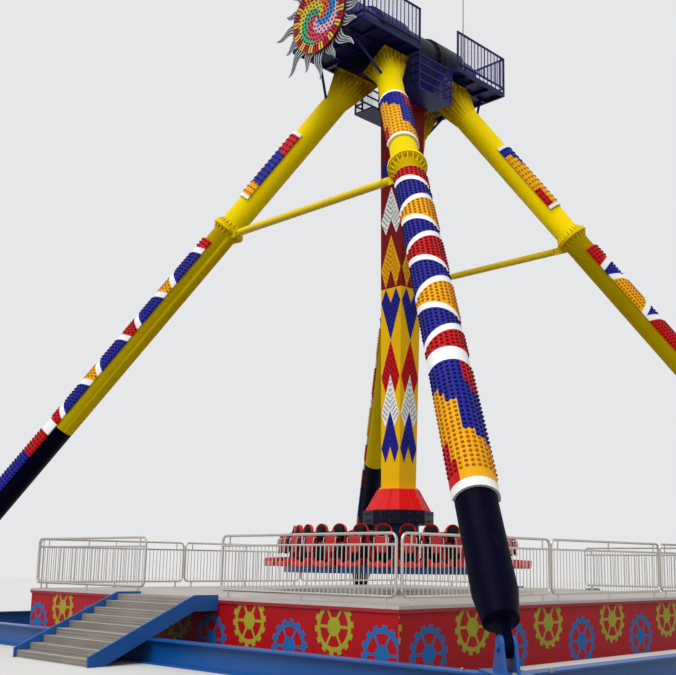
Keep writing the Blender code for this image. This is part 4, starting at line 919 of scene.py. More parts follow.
small_cap = lamp_cap("small_cap", ARM_CAP_RADIUS, ARM_CAP_HEIGHT, 6, 4)
for face, out in FACES.items():
    places = []
    picks = []
    for tint, turn, *heights in ARM_PANELS:
        for share, z in herringbone(panel_outline(*heights), turn):
            places.append(place_at(on_arm(out, share, z, PANEL_SHEET), out, (0, 0, 1)))
            picks.append(tint)
    lamps = lay_copies(f"arm_lamps_{face}", small_cap, places, picks)
    finish(lamps, "pendulum", CAPS, angle=None)
    print(face, "lamps:", len(places))
discard(small_cap)

# %% [markdown]
# The arm itself is sprayed dark red in its upper part and gold yellow below, with a masked edge. Height
# alone decides the colour, so the material reads the Z of Object coordinates.

# %% Arm paint
ARM_PAINT_EDGE = 9.43


def two_colour_arm():
    """Gloss enamel, dark red over gold yellow."""
    material, shader = new_material("two_colour_arm_enamel", Roughness=0.4, Specular_IOR_Level=0.08)
    where = add_node(material, "TexCoord").outputs["Object"]
    height = add_node(material, "SeparateXYZ", {"Vector": where}).outputs["Z"]
    above = add_node(material, "Math", {0: height, 1: ARM_PAINT_EDGE}, operation="GREATER_THAN")
    two = add_node(material, "Mix", {"Factor": above.outputs["Value"], "A": "#F2BC04",
                                     "B": "#80121C"}, data_type="RGBA")
    spray(material, shader, two.outputs["Result"], 0.14)
    return material


arm_enamel = two_colour_arm()
print("arm paint edge at", ARM_PAINT_EDGE, "m")

# %% [markdown]
# ## Bolts and ribs
#
# The bolted joints are what gives the steelwork its scale. A bolt head is a six-sided bar with its top
# edge chamfered, on a washer, and a stiffening rib is a plate with one corner cut away. Both are made
# once and laid round the flange of a leg.

# %% Flange bolts and ribs
FLANGE_DISTANCE = 13.145
FLANGE_HALF = 0.045
FLANGE_RADIUS = 0.475
FLANGE_BOLTS = 20
BOLT_RADIUS = 0.021
BOLT_CIRCLE = 0.425
RIB_THICKNESS = 0.022
RIB_LENGTH = 0.15
RIB_IN = 0.004
RIB_CLEAR = 0.012


def bolt_pattern(name, radius):
    """A hexagon head on a washer, standing on z = 0."""
    head = add_round("head", radius, (0, 0, 0.25 * radius), (0, 0, 1.5 * radius), 6)
    edit(head)
    choose(head, "FACE", lambda f: f.normal.z > 0.9)
    bpy.ops.mesh.bevel(offset=0.18 * radius, segments=1, affect="EDGES")
    close_edit()
    washer = add_round("washer", 1.35 * radius, (0, 0, 0), (0, 0, 0.25 * radius), 12)
    return join(name, [head, washer])


def rib_pattern(name, length, reach):
    """A three-cornered rib in the XZ plane, from z = 0 up and from x = 0 out, with a blunt toe."""
    rib = add_box(name, (0, -RIB_THICKNESS / 2, 0), (reach, RIB_THICKNESS / 2, length))
    edit(rib)
    choose(rib, "VERT", lambda v: v.co.x > reach / 2 and v.co.z > length / 2)
    bpy.ops.transform.translate(value=(-0.85 * reach, 0, 0))
    close_edit()
    return rib


def round_leg(distance, radius, angle, down):
    """A place round the leg, with X pointing out and Z along the leg, up it or down it."""
    out = RIGHT * sin(angle) + OUTWARD * cos(angle)
    z = -ALONG if down else ALONG
    y = z.cross(out)
    rows = Matrix((out, y, z)).transposed().to_4x4()
    return Matrix.Translation(FOOT_PIN + ALONG * distance + out * radius) @ rows


bolt = bolt_pattern("bolt", BOLT_RADIUS)
rib = rib_pattern("rib", RIB_LENGTH, FLANGE_RADIUS - LEG_RADIUS - RIB_CLEAR)
bolt_places = []
rib_places = []
for number in range(FLANGE_BOLTS):
    angle = 2 * pi * number / FLANGE_BOLTS
    for down in (False, True):
        edge = FLANGE_DISTANCE + (-FLANGE_HALF if down else FLANGE_HALF)
        bolt_places.append(round_leg(edge, BOLT_CIRCLE, angle, down))
        rib_places.append(round_leg(edge, LEG_RADIUS - RIB_IN, angle + pi / FLANGE_BOLTS, down))
flange_bolts = lay_copies("flange_bolts_front_right", bolt, bolt_places)
flange_ribs = lay_copies("flange_ribs_front_right", rib, rib_places)
finish_quarters(flange_bolts, "flange_bolts", "base_frame", [yellow_enamel])
finish_quarters(flange_ribs, "flange_ribs", "base_frame", [yellow_enamel], angle=None)
print("flange bolts:", 4 * len(bolt_places), "ribs:", 4 * len(rib_places))

# %% [markdown]
# Slim gussets stiffen a leg's flared top. They run from the round tube up to the head plate, and look
# like pleats from below. The flare's own straight lines are read from the CAD mesh, and each line
# carries one rib, deepest near the plate.

# %% Gussets on the flared tops
GUSSET_DEPTH = 0.075
GUSSET_SHARE = 0.9


def flare_lines(node):
    """The straight lines of a leg's flare, from the tube to the head plate."""
    spots = [v.co.copy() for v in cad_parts[node].data.vertices]
    along = [leg_place(spot)[0] for spot in spots]
    shortest = {}
    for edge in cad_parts[node].data.edges:
        low, high = sorted(edge.vertices, key=lambda v: along[v])
        if abs(along[low] - FLARE_START) < 0.02 and along[high] > FLARE_START + 0.3:
            line = spots[high] - spots[low]
            foot = tuple(round(c, 3) for c in spots[low])
            if foot not in shortest or line.length < shortest[foot][1].length:
                shortest[foot] = (spots[low], line)
    return list(shortest.values())


gusset = rib_pattern("gusset", 1.0, GUSSET_DEPTH)
places = []
for foot, line in flare_lines("leg_front_right"):
    line = line * GUSSET_SHARE
    z = -line.normalized()
    out = foot - FOOT_PIN - ALONG * leg_place(foot)[0]
    x = (out - z * out.dot(z)).normalized()
    rows = Matrix((x, z.cross(x), z)).transposed().to_4x4()
    places.append(Matrix.Translation(foot + line) @ rows @ Matrix.Diagonal((1, 1, line.length, 1)))
gussets = lay_copies("flare_gussets_front_right", gusset, places)
finish_quarters(gussets, "flare_gussets", "base_frame", [leg_enamel], angle=None)
discard(gusset)
print("gussets on a leg:", len(places))

# %% [markdown]
# The foot brackets are held down by four anchor bolts, and the drum of the hub and the octagonal slewing
# ring by rings of bolts.

# %% Other bolts
BIG_BOLT_RADIUS = 0.03
ANCHOR_INSET = 0.07
ANCHOR_PLATE = 0.0403
HUB_RADIUS = 0.93
HUB_BOLTS = 24
HUB_BOLT_CIRCLE = 0.885
HUB_FACE = 0.643
beam_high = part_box("beam_right")[1]


def anchor_places(node):
    """The four corners of a foot bracket's base plate."""
    low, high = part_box(node)
    top = beam_high.z + ANCHOR_PLATE
    return [place_at((x, y, top), (0, 0, 1), (0, 1, 0))
            for x in (low.x + ANCHOR_INSET, high.x - ANCHOR_INSET)
            for y in (low.y + ANCHOR_INSET, high.y - ANCHOR_INSET)]


big_bolt = bolt_pattern("big_bolt", BIG_BOLT_RADIUS)
places = [place for quarter in QUARTERS for place in anchor_places(f"foot_{quarter}")]
anchors = lay_copies("anchor_bolts", big_bolt, places)
finish(anchors, "base_frame")

axis_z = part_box("hub")[1].z - HUB_RADIUS
places = []
for number in range(HUB_BOLTS):
    angle = 2 * pi * number / HUB_BOLTS
    spot = Vector((cos(angle), 0, sin(angle)))
    for sign in (-1, 1):
        middle = Vector((0, sign * HUB_FACE, axis_z))
        places.append(place_at(middle + spot * HUB_BOLT_CIRCLE, (0, -sign, 0), spot))
hub_bolts = lay_copies("hub_bolts", bolt, places)
finish(hub_bolts, "pendulum", [navy_enamel])
print("anchor bolts:", 16, "hub bolts:", len(places))

# %% [markdown]
# ## Platforms and baskets
#
# The platform railings have upright bars 150 mm apart between the CAD's frame of square tube. One bar is
# a slim box with its long edges bevelled, copied along three sides of each platform.

# %% Platform bars
PLATFORM_LOW, PLATFORM_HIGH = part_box("platform_front")
PLATFORM_TOP = 15.966
BAR_PITCH = 0.15
BAR_HALF = 0.011
RAIL_BAR = 0.045
RAIL_LOW = 0.12
BAR_GAP = 0.02


def upright_bar(name, half, low, high):
    """A slim square bar with bevelled edges."""
    bar = add_box(name, (-half, -half, low), (half, half, high))
    return apply_modifier(bar, "BEVEL", width=0.25 * half, segments=1)


bar = upright_bar("bar", BAR_HALF, PLATFORM_TOP + RAIL_LOW + BAR_GAP, PLATFORM_HIGH.z - BAR_GAP)
edge_x = PLATFORM_HIGH.x - RAIL_BAR / 2
far_y = PLATFORM_LOW.y + RAIL_BAR / 2
near_y = PLATFORM_HIGH.y - RAIL_BAR / 2
spots = []
count = round(2 * edge_x / BAR_PITCH)
spots += [(-edge_x + 2 * edge_x * k / count, far_y) for k in range(1, count)]
count = round((near_y - far_y) / BAR_PITCH)
spots += [(sign * edge_x, far_y + (near_y - far_y) * k / count) for k in range(1, count) for sign in (-1, 1)]
for end, sign in (("front", 1), ("rear", -1)):
    places = [Matrix.Translation((x, sign * y, 0)) for x, y in spots]
    bars = lay_copies(f"platform_bars_{end}", bar, places)
    finish(bars, "base_frame", [navy_enamel])
discard(bar)
print("bars on a platform:", len(spots))

# %% [markdown]
# Seen from the ground, the platform's floor plates are drawn a lighter blue than the ribs round them.
# The material finds the plates by their height over the ribs' lower edge and by their facing down.

# %% Platform paint
PLATE_LOW = 15.906
PLATE_HIGH = PLATE_LOW + 0.08


def platform_paint():
    """Navy enamel with lighter blue plates in the pockets underneath."""
    material, shader = new_material("navy_enamel_with_blue_plates", Roughness=0.45, Specular_IOR_Level=0.2)
    where = add_node(material, "TexCoord").outputs["Object"]
    height = add_node(material, "SeparateXYZ", {"Vector": where}).outputs["Z"]
    facing = add_node(material, "NewGeometry").outputs["Normal"]
    facing = add_node(material, "SeparateXYZ", {"Vector": facing}).outputs["Z"]
    sums = work_out(material, {}, [("down", "LESS_THAN", facing, -0.5),
                                   ("over low", "GREATER_THAN", height, PLATE_LOW),
                                   ("under high", "LESS_THAN", height, PLATE_HIGH),
                                   ("high and down", "MULTIPLY", "down", "over low"),
                                   ("plate", "MULTIPLY", "high and down", "under high")])
    two = add_node(material, "Mix", {"Factor": sums["plate"], "A": "#17175A",
                                     "B": "#22225E"}, data_type="RGBA")
    spray(material, shader, two.outputs["Result"], 0.1)
    return material


platform_enamel = platform_paint()
print("platform paint ready")

# %% [markdown]
# Fine welded mesh fills the platform railings and the sides of the service baskets, which gives them a
# bluish veil against the sky. A real wire is 3 mm thick and 50 mm from the next. Here it is 7 mm thick at
# 60 mm, so that it still shows from the ground. A wire is a slim four-sided bar, copied both ways.

# %% Welded mesh
MESH_PITCH = 0.06
MESH_GAP = 0.03
WIRE_RADIUS = 0.0035
BASKET_INSET = 0.022
BASKET_FLOOR = 0.05


def wall_places(start, end, low, high):
    """Places for wires that are one metre long along Z, upright and level, on a wall from start to end."""
    start, end = Vector((*start, 0)), Vector((*end, 0))
    line = end - start
    turn = line.to_track_quat("Z", "Y").to_matrix().to_4x4()
    across = max(1, round(line.length / MESH_PITCH))
    up = max(1, round((high - low) / MESH_PITCH))
    found = []
    for step in range(1, across):
        spot = start + line * step / across + Vector((0, 0, low))
        found.append(Matrix.Translation(spot) @ Matrix.Diagonal((1, 1, high - low, 1)))
    for step in range(1, up):
        spot = start + Vector((0, 0, low + (high - low) * step / up))
        found.append(Matrix.Translation(spot) @ turn @ Matrix.Diagonal((1, 1, line.length, 1)))
    return found


def lay_mesh(name, body, corners, low, high):
    """Welded mesh along the walls between a row of corners."""
    places = []
    for start, end in zip(corners, corners[1:]):
        places += wall_places(start, end, low, high)
    finish(lay_copies(name, wire, places), body, [mesh_enamel], angle=None)
    print(name, "wires:", len(places))


wire = add_round("wire", WIRE_RADIUS, (0, 0, 0), (0, 0, 1), 4)
mesh_enamel = enamel("lighter_blue_mesh_enamel", "#4444B4", 0.5, gloss=0.1)
for end, sign in (("front", 1), ("rear", -1)):
    path = ((-edge_x, near_y), (-edge_x, far_y), (edge_x, far_y), (edge_x, near_y))
    corners = [(x, sign * y) for x, y in path]
    lay_mesh(f"platform_mesh_{end}", "base_frame", corners, PLATFORM_TOP + RAIL_LOW + MESH_GAP,
             PLATFORM_HIGH.z - MESH_GAP)
low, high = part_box("basket_right")
near_x, far_x = low.x + BASKET_INSET, high.x - BASKET_INSET
front_y, rear_y = low.y + BASKET_INSET, high.y - BASKET_INSET
for side, sign in (("right", 1), ("left", -1)):
    path = ((near_x, front_y), (far_x, front_y), (far_x, rear_y), (near_x, rear_y))
    corners = [(sign * x, y) for x, y in path]
    lay_mesh(f"basket_mesh_{side}", "pendulum", corners, low.z + BASKET_FLOOR, high.z - MESH_GAP)
discard(wire)

# %% [markdown]
# ## The sun
#
# The sun at the front is a flat round sheet in a thin dark red rim. Inside, a swirl of six broad arms of
# colour turns towards the middle, and a border of red and yellow blocks runs round it. The swirl is an
# old fairground pattern, laid out here by a rule of our own: the angle round the middle, less a turn that
# grows with the distance from it, counts the arms. The sheet is a filled cylinder whose front face is
# inset for the rim, and its material works out the arms, so that their edges stay smooth.

# %% Sun sheet
disc_low, disc_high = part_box("sun_disc")
DISC_X = (disc_low.x + disc_high.x) / 2
DISC_Z = (disc_low.z + disc_high.z) / 2
SUN_RADIUS = (disc_high.x - disc_low.x) / 2
FACE_Y = disc_low.y + 0.036
SWIRL_TURN = 0.62
SWIRL_START = 0.38
SWIRL_ARMS = ["#2E86D0", "#E2603A", "#E6CC3C", "#40AC7A", "#D23C54", "#E4ACC4"]
BORDER_START = 0.77
BORDER_PAIRS = 14
RED_SHARE = 0.64
BORDER_COLOURS = ["#C8283C", "#E4CC34"]
RIM_WIDTH = 0.018
RIM_RAISED = 0.012


def swirl_pick(radius, angle):
    """The number of the swirl's arm at a place on the sun."""
    return int((angle / (2 * pi) - SWIRL_TURN * radius + SWIRL_START) % 1.0 * len(SWIRL_ARMS))


def border_pick(angle):
    """Nought on a red border block and one on a yellow block."""
    return int(angle * BORDER_PAIRS / (2 * pi) % 1.0 > RED_SHARE)


def sun_paint():
    """Painted sheet: a swirl of six colours inside a border of red and yellow blocks."""
    material, shader = new_material("painted_swirl_sheet", Roughness=0.42, Specular_IOR_Level=0.2)
    where = add_node(material, "TexCoord").outputs["Object"]
    spot = add_node(material, "SeparateXYZ", {"Vector": where}).outputs
    sums = work_out(material, {"x": spot["X"], "z": spot["Z"]}, [
        ("across", "SUBTRACT", "x", DISC_X), ("up", "SUBTRACT", "z", DISC_Z),
        ("across squared", "MULTIPLY", "across", "across"), ("up squared", "MULTIPLY", "up", "up"),
        ("both squared", "ADD", "across squared", "up squared"), ("radius", "SQRT", "both squared"),
        ("angle", "ARCTAN2", "up", "across"), ("turn", "DIVIDE", "angle", 2 * pi),
        ("turns", "ADD", "turn", 1.0), ("straight", "ADD", "turns", SWIRL_START),
        ("twist", "MULTIPLY", "radius", SWIRL_TURN), ("swirl", "SUBTRACT", "straight", "twist"),
        ("arm", "FRACT", "swirl"), ("pairs", "MULTIPLY", "turns", BORDER_PAIRS), ("pair", "FRACT", "pairs"),
        ("yellow", "GREATER_THAN", "pair", RED_SHARE), ("outside", "GREATER_THAN", "radius", BORDER_START)])
    arms = add_node(material, "ValToRGB", {"Fac": sums["arm"]})
    arms.color_ramp.interpolation = "CONSTANT"
    while len(arms.color_ramp.elements) < len(SWIRL_ARMS):
        arms.color_ramp.elements.new(0.5)
    for number, (stop, code) in enumerate(zip(arms.color_ramp.elements, SWIRL_ARMS)):
        stop.position = number / len(SWIRL_ARMS)
        stop.color = linear(code)
    blocks = add_node(material, "Mix", {"Factor": sums["yellow"], "A": BORDER_COLOURS[0],
                                        "B": BORDER_COLOURS[1]}, data_type="RGBA")
    both = add_node(material, "Mix", {"Factor": sums["outside"], "A": arms.outputs["Color"],
                                      "B": blocks.outputs["Result"]}, data_type="RGBA")
    spray(material, shader, both.outputs["Result"], 0.06)
    return material


sun_face = add_round("sun_face", SUN_RADIUS, (DISC_X, disc_high.y, DISC_Z),
                     (DISC_X, FACE_Y - RIM_RAISED, DISC_Z), 96)
edit(sun_face)
choose(sun_face, "FACE", lambda f: f.normal.y < -0.9)
bpy.ops.mesh.inset(thickness=RIM_WIDTH)
bpy.ops.transform.translate(value=(0, RIM_RAISED, 0))
close_edit()
sun_face.data.materials.append(enamel("dark_red_rim_enamel", "#6A0C18"))
sun_face.data.materials.append(sun_paint())
for face in sun_face.data.polygons:
    face.material_index = int(face.normal.y < -0.9 and len(face.vertices) > 4)
finish(sun_face, "base_frame", replaces=["sun_disc"])
print("sun radius:", round(SUN_RADIUS, 3))

# %% [markdown]
# The sun's lamps are large caps in rings, each a deeper tint of the paint under it, found by the same
# rules as the paint; the deeper tint is painted shade, so that each cap reads as a dark dot. On the border
# a red block carries three columns of three, and a yellow block one.

# %% Lamps of the sun
RINGS = 7
FIRST_RING = 0.03
RING_PITCH = 0.118
SUN_CAP_RADIUS = 0.031
SUN_CAP_HEIGHT = 0.026
DEEPER_SHARE = 0.42
BORDER_SHARES = (0.12, 0.32, 0.52, 0.82)
BORDER_RADII = (0.815, 0.875, 0.935)
BORDER_CAP_SCALE = 0.8


def on_sun(radius, angle):
    """A place on the front of the sun."""
    return Vector((DISC_X + radius * cos(angle), FACE_Y, DISC_Z + radius * sin(angle)))


def deeper(code):
    """A hex colour at a share of its strength."""
    return "#" + "".join(f"{round(int(code[k:k + 2], 16) * DEEPER_SHARE):02X}" for k in (1, 3, 5))


sun_cap = lamp_cap("sun_cap", SUN_CAP_RADIUS, SUN_CAP_HEIGHT, 8, 6)
places = []
picks = []
for ring in range(RINGS):
    radius = FIRST_RING + ring * RING_PITCH
    count = max(1, round(2 * pi * radius / RING_PITCH))
    for step in range(count if radius < BORDER_START - SUN_CAP_RADIUS else 0):
        angle = 2 * pi * (step + 0.5) / count
        places.append(place_at(on_sun(radius, angle), (0, -1, 0), (0, 0, 1)))
        picks.append(swirl_pick(radius, angle))
for pair in range(BORDER_PAIRS):
    for share in BORDER_SHARES:
        for radius in BORDER_RADII:
            angle = 2 * pi * (pair + share) / BORDER_PAIRS
            place = place_at(on_sun(radius, angle), (0, -1, 0), (0, 0, 1))
            places.append(place @ Matrix.Scale(BORDER_CAP_SCALE, 4))
            picks.append(len(SWIRL_ARMS) + border_pick(angle))
sun_lamps = lay_copies("sun_lamps", sun_cap, places, picks)
# Each cap is the paint's colour at a share of its strength: painted shade
sun_caps = [moulded_cap(f"moulded_sun_cap_{k + 1}", deeper(code))
            for k, code in enumerate(SWIRL_ARMS + BORDER_COLOURS)]
finish(sun_lamps, "base_frame", sun_caps, angle=None)
discard(sun_cap)
print("sun lamps:", len(places))

# %% [markdown]
# Behind the sun stands a ring of cast flames, long and short by turns, which sway as they narrow. Raised
# silver ribs run along each flame, with dark grooves between. A flame is a grid of seven strips. Its
# points are slid to the swaying outline, the ribs are lifted off the grooves, and Solidify thickens it.

# %% Flames round the sun
FLAME_STRIPS = 7
FLAME_STEPS = 9
FLAME_ROOT = 0.93
FLAME_HALVES = (0.185, 0.17, 0.15, 0.135, 0.12, 0.10, 0.08, 0.055, 0.03, 0.006)
FLAME_SWAY = (0.0, 0.02, 0.05, 0.06, 0.04, 0.0, -0.045, -0.07, -0.07, -0.05)
FLAME_SKIN = 0.014
FLAME_REACHES = {"long_flame": 0.86, "short_flame": 0.56}
FLAME_PAIRS = 8
RIB_LIFT = 0.016
RIB_HEIGHT = 0.012
rays_low, rays_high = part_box("sun_rays")
FLAME_Y = rays_low.y + 0.02
BACK_PLATE_RADIUS = 0.97
BACK_PLATE_SKIN = 0.03
CARRIER_HALF = 0.035
CARRIER_SIDE = 0.55
CARRIER_LOW = 15.871


def flame_pattern(name, reach):
    """One ribbed flame that points along Z from the sun's middle, facing -Y."""
    start_clean()
    bpy.ops.mesh.primitive_grid_add(x_subdivisions=FLAME_STRIPS, y_subdivisions=FLAME_STEPS, size=1)
    flame = named(name)
    strips = [round((face.center.x + 0.5) * FLAME_STRIPS - 0.5) for face in flame.data.polygons]
    for face, strip in zip(flame.data.polygons, strips):
        face.material_index = strip % 2
    for v in flame.data.vertices:
        column = round((v.co.x + 0.5) * FLAME_STRIPS)
        step = round((v.co.y + 0.5) * FLAME_STEPS)
        middle = FLAME_STRIPS / 2
        lift = RIB_LIFT * (1 - abs(column - middle) / middle) * (1 - 0.5 * step / FLAME_STEPS)
        x = FLAME_SWAY[step] * reach / 0.8 + 2 * v.co.x * FLAME_HALVES[step]
        v.co = (x, -lift, FLAME_ROOT + reach * step / FLAME_STEPS)
    face_towards(flame, Vector((0, -1, 0)))
    edit(flame)
    choose(flame, "FACE", lambda f: f.material_index == 0)
    bpy.ops.mesh.extrude_region_move(TRANSFORM_OT_translate={"value": (0, -RIB_HEIGHT, 0)})
    close_edit()
    return apply_modifier(flame, "SOLIDIFY", thickness=FLAME_SKIN, offset=-1)


long_flame, short_flame = (flame_pattern(name, reach) for name, reach in FLAME_REACHES.items())
sun_middle = Matrix.Translation((DISC_X, FLAME_Y, DISC_Z))
places = [sun_middle @ Matrix.Rotation(2 * pi * k / FLAME_PAIRS, 4, "Y") for k in range(FLAME_PAIRS)]
half_step = Matrix.Rotation(pi / FLAME_PAIRS, 4, "Y")
rings = [lay_copies("long_flames", long_flame, places),
         lay_copies("short_flames", short_flame, [place @ half_step for place in places])]
metals = [face.material_index for ring in rings for face in ring.data.polygons]
flames = join("sun_flames", rings)
flames.data.polygons.foreach_set("material_index", metals)
back_y = FLAME_Y + BACK_PLATE_SKIN
back_plate = add_round("back_plate", BACK_PLATE_RADIUS, (DISC_X, FLAME_Y, DISC_Z),
                       (DISC_X, back_y, DISC_Z), 48)
carriers = [add_box("carrier", (x - CARRIER_HALF, back_y, CARRIER_LOW),
                    (x + CARRIER_HALF, rays_high.y, CARRIER_LOW + 2 * CARRIER_HALF))
            for x in (DISC_X - CARRIER_SIDE, DISC_X + CARRIER_SIDE)]
carrier = join("sun_carrier", [back_plate, *carriers])
discard(long_flame, short_flame)
print("flame faces:", len(flames.data.polygons))

# %% [markdown]
# ## Brushed, galvanised and plated metal
#
# The railings are brushed stainless steel tube, the stair treads and the deck are galvanised chequer
# plate, and the sun's rays are cast aluminium. Brushing leaves scratches along the tube that stretch its
# reflections. They are about 0.2 mm apart, far too fine here, so they are drawn at 12 mm as slight
# changes of roughness. The chequers on real plate are 30 mm apart, and are drawn at 60 mm.

# %% Metals
BRUSH_MM = 12
CHEQUER_MM = 60
GRIT_MM = 25
PLATE_METALLIC = 0.25


def brushed_steel(name, colour, roughness):
    """Brushed stainless tube with dust in its grain."""
    material, shader = new_material(name, Metallic=0.85, Roughness=roughness)
    where = add_node(material, "TexCoord").outputs["Object"]
    grain = add_node(material, "TexNoise", {"Vector": where, "Scale": per_metre(BRUSH_MM),
                                            "Detail": 3.0})
    rough = add_node(material, "MapRange", {"Value": grain.outputs["Fac"], "From Min": 0.3,
                                            "From Max": 0.7, "To Min": roughness - 0.08,
                                            "To Max": roughness + 0.14})
    plug(material, rough.outputs["Result"], shader, "Roughness")
    plug(material, weathered(material, colour, 0.2), shader, "Base Color")
    return material


def chequer_plate(name, colour):
    """Galvanised plate with raised chequers, dull with dust and scuffed by shoes."""
    material, shader = new_material(name, Metallic=PLATE_METALLIC, Roughness=0.55)
    where = add_node(material, "TexCoord").outputs["Object"]
    turned = add_node(material, "Mapping", {"Vector": where, "Rotation": (0, 0, pi / 4)})
    lugs = add_node(material, "TexVoronoi", {"Vector": turned.outputs["Vector"],
                                             "Scale": per_metre(CHEQUER_MM), "Randomness": 0.0})
    raised = add_node(material, "MapRange", {"Value": lugs.outputs["Distance"], "From Min": 0.2,
                                             "From Max": 0.32, "To Min": 0.6, "To Max": 0.0})
    scuffs = add_node(material, "TexNoise", {"Vector": where, "Scale": 1.3, "Detail": 6.0})
    shade = add_node(material, "MapRange", {"Value": scuffs.outputs["Fac"], "From Min": 0.3,
                                            "From Max": 0.7, "To Min": 0.84, "To Max": 1.1})
    tone = add_node(material, "HueSaturation", {"Color": colour,
                                                "Value": shade.outputs["Result"]})
    worn = add_node(material, "Mix", {"Factor": raised.outputs["Result"], "A": tone.outputs["Color"],
                                      "B": "#D8D2CA"}, data_type="RGBA")
    bump = add_node(material, "Bump", {"Strength": 0.5, "Distance": 0.004,
                                       "Height": raised.outputs["Result"]})
    plug(material, worn.outputs["Result"], shader, "Base Color")
    plug(material, bump.outputs["Normal"], shader, "Normal")
    return material


def cast_aluminium(name):
    """Sand-cast aluminium: pale grey, grainy and uneven."""
    material, shader = new_material(name, Metallic=0.6, Roughness=0.42)
    where = add_node(material, "TexCoord").outputs["Object"]
    grit = add_node(material, "TexNoise", {"Vector": where, "Scale": per_metre(GRIT_MM),
                                           "Detail": 5.0})
    clouds = add_node(material, "TexNoise", {"Vector": where, "Scale": 5.0})
    mixed = add_node(material, "Mix", {"Factor": clouds.outputs["Fac"], "A": "#7C828C",
                                       "B": "#D4D8DE"}, data_type="RGBA")
    bump = add_node(material, "Bump", {"Strength": 0.3, "Distance": 0.004,
                                       "Height": grit.outputs["Fac"]})
    plug(material, mixed.outputs["Result"], shader, "Base Color")
    plug(material, bump.outputs["Normal"], shader, "Normal")
    return material


stainless = brushed_steel("brushed_stainless_tube", "#C8C2BA", 0.3)
zinc = brushed_steel("zinc_plated_bolt", "#8E8C88", 0.4)
anchors.data.materials.append(zinc)
flame_metals = [cast_aluminium("cast_aluminium"), enamel("dark_flame_groove", "#16181E")]
finish(flames, "base_frame", flame_metals, ["sun_rays"], angle=30)
finish(carrier, "base_frame", [navy_enamel])
print("metals ready")

# %% [markdown]
# ## Deck railings
#
# Each railing panel is one closed loop of tube with rounded corners. It starts as an upright rectangle:
# its four corners are bevelled as points, its face is deleted so that only the outline stays, and the
# outline becomes a curve that is given a round section. A second rail crosses it below the top, and
# thin uprights stand between that rail and the loop's foot, 115 mm apart.

# %% A railing panel
RAIL_RADIUS = 0.027
LOOP_LOW = 0.15
LOOP_HIGH = 1.25
SECOND_RAIL = 1.05
LOOP_CORNER = 0.12
END_INSET = 0.1
UPRIGHT_PITCH = 0.115
UPRIGHT_RADIUS = 0.011
POST_RADIUS = 0.024
POST_FOOT_RADIUS = 0.055
POST_FOOT_HIGH = 0.012
FOOT_GAP = 0.0003
STAY_RADIUS = 0.016
DECK_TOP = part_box("deck")[1].z


def tube_outline(name, length, low, high, corner, radius):
    """A closed loop of round tube in the XZ plane, with rounded corners."""
    start_clean()
    bpy.ops.mesh.primitive_plane_add(size=1, rotation=(pi / 2, 0, 0))
    loop = named(name)
    edit(loop)
    bpy.ops.transform.resize(value=(length, 1, high - low))
    bpy.ops.transform.translate(value=(length / 2, 0, (low + high) / 2))
    bpy.ops.mesh.bevel(offset=corner, segments=5, affect="VERTICES")
    bpy.ops.mesh.delete(type="ONLY_FACE")
    close_edit()
    bpy.ops.object.convert(target="CURVE")
    loop = bpy.context.object
    loop.data.bevel_depth = radius
    loop.data.bevel_resolution = 2
    bpy.ops.object.convert(target="MESH")
    return named(name)


def rail_panel(length):
    """One railing panel along X from x = 0, standing on z = 0."""
    loop = tube_outline("loop", length, LOOP_LOW, LOOP_HIGH, LOOP_CORNER, RAIL_RADIUS)
    second = add_round("second", 0.8 * RAIL_RADIUS, (0, 0, SECOND_RAIL), (length, 0, SECOND_RAIL), 10)
    upright = add_round("upright", UPRIGHT_RADIUS, (0, 0, LOOP_LOW), (0, 0, SECOND_RAIL), 6)
    row = length - 2 * END_INSET
    count = round(row / UPRIGHT_PITCH)
    places = [Matrix.Translation((END_INSET + row * k / count, 0, 0)) for k in range(count + 1)]
    uprights = lay_copies("uprights", upright, places)
    posts = []
    for along in (2 * LOOP_CORNER, length / 2, length - 2 * LOOP_CORNER):
        foot = (along, 0, FOOT_GAP)
        posts.append(add_round("post", POST_RADIUS, foot, (along, 0, LOOP_LOW), 10))
        posts.append(add_round("post_foot", POST_FOOT_RADIUS, foot, (along, 0, POST_FOOT_HIGH), 12))
        posts.append(add_round("stay", STAY_RADIUS, (along, 0, SECOND_RAIL), (along, 0, LOOP_HIGH), 8))
    discard(upright)
    return join("panel", [loop, second, uprights, *posts])


RAIL_GAP = 0.07
CLIP_RADIUS = 0.022
side_low, side_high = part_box("railing_right")
end_low, end_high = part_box("railing_front_right")
side_y = side_high.y
side_length = (2 * side_y - 2 * RAIL_GAP) / 3
end_length = end_high.x - end_low.x
print("panel lengths:", round(side_length, 3), round(end_length, 3))

# %% [markdown]
# The panels are laid where the CAD's railings stand, three along each side and one on each side of both
# stairs, and short clips join neighbours at the second rail.

# %% Lay the railings
side_panel = rail_panel(side_length)
end_panel = rail_panel(end_length)
rail_z = DECK_TOP + SECOND_RAIL
for hand, sign in (("right", 1), ("left", -1)):
    x = sign * (side_low.x + side_high.x) / 2
    places = []
    clips = []
    for number in range(3):
        y = -side_y + number * (side_length + RAIL_GAP)
        places.append(Matrix.Translation((x, y, DECK_TOP)) @ Matrix.Rotation(pi / 2, 4, "Z"))
        if number:
            clips.append(add_round("clip", CLIP_RADIUS, (x, y - RAIL_GAP, rail_z), (x, y, rail_z), 8))
    rail = join(f"rails_{hand}", [lay_copies("side_rail", side_panel, places), *clips])
    finish(rail, "base_frame", [stainless], [f"railing_{hand}"])
    for end, side in (("front", -1), ("rear", 1)):
        y = side * (-end_low.y - end_high.y) / 2
        start = end_low.x if sign > 0 else -end_high.x
        rail = lay_copies(f"rails_{end}_{hand}", end_panel, [Matrix.Translation((start, y, DECK_TOP))])
        finish(rail, "base_frame", [stainless], [f"railing_{end}_{hand}"])
discard(side_panel, end_panel)
print("railing panels: 10")

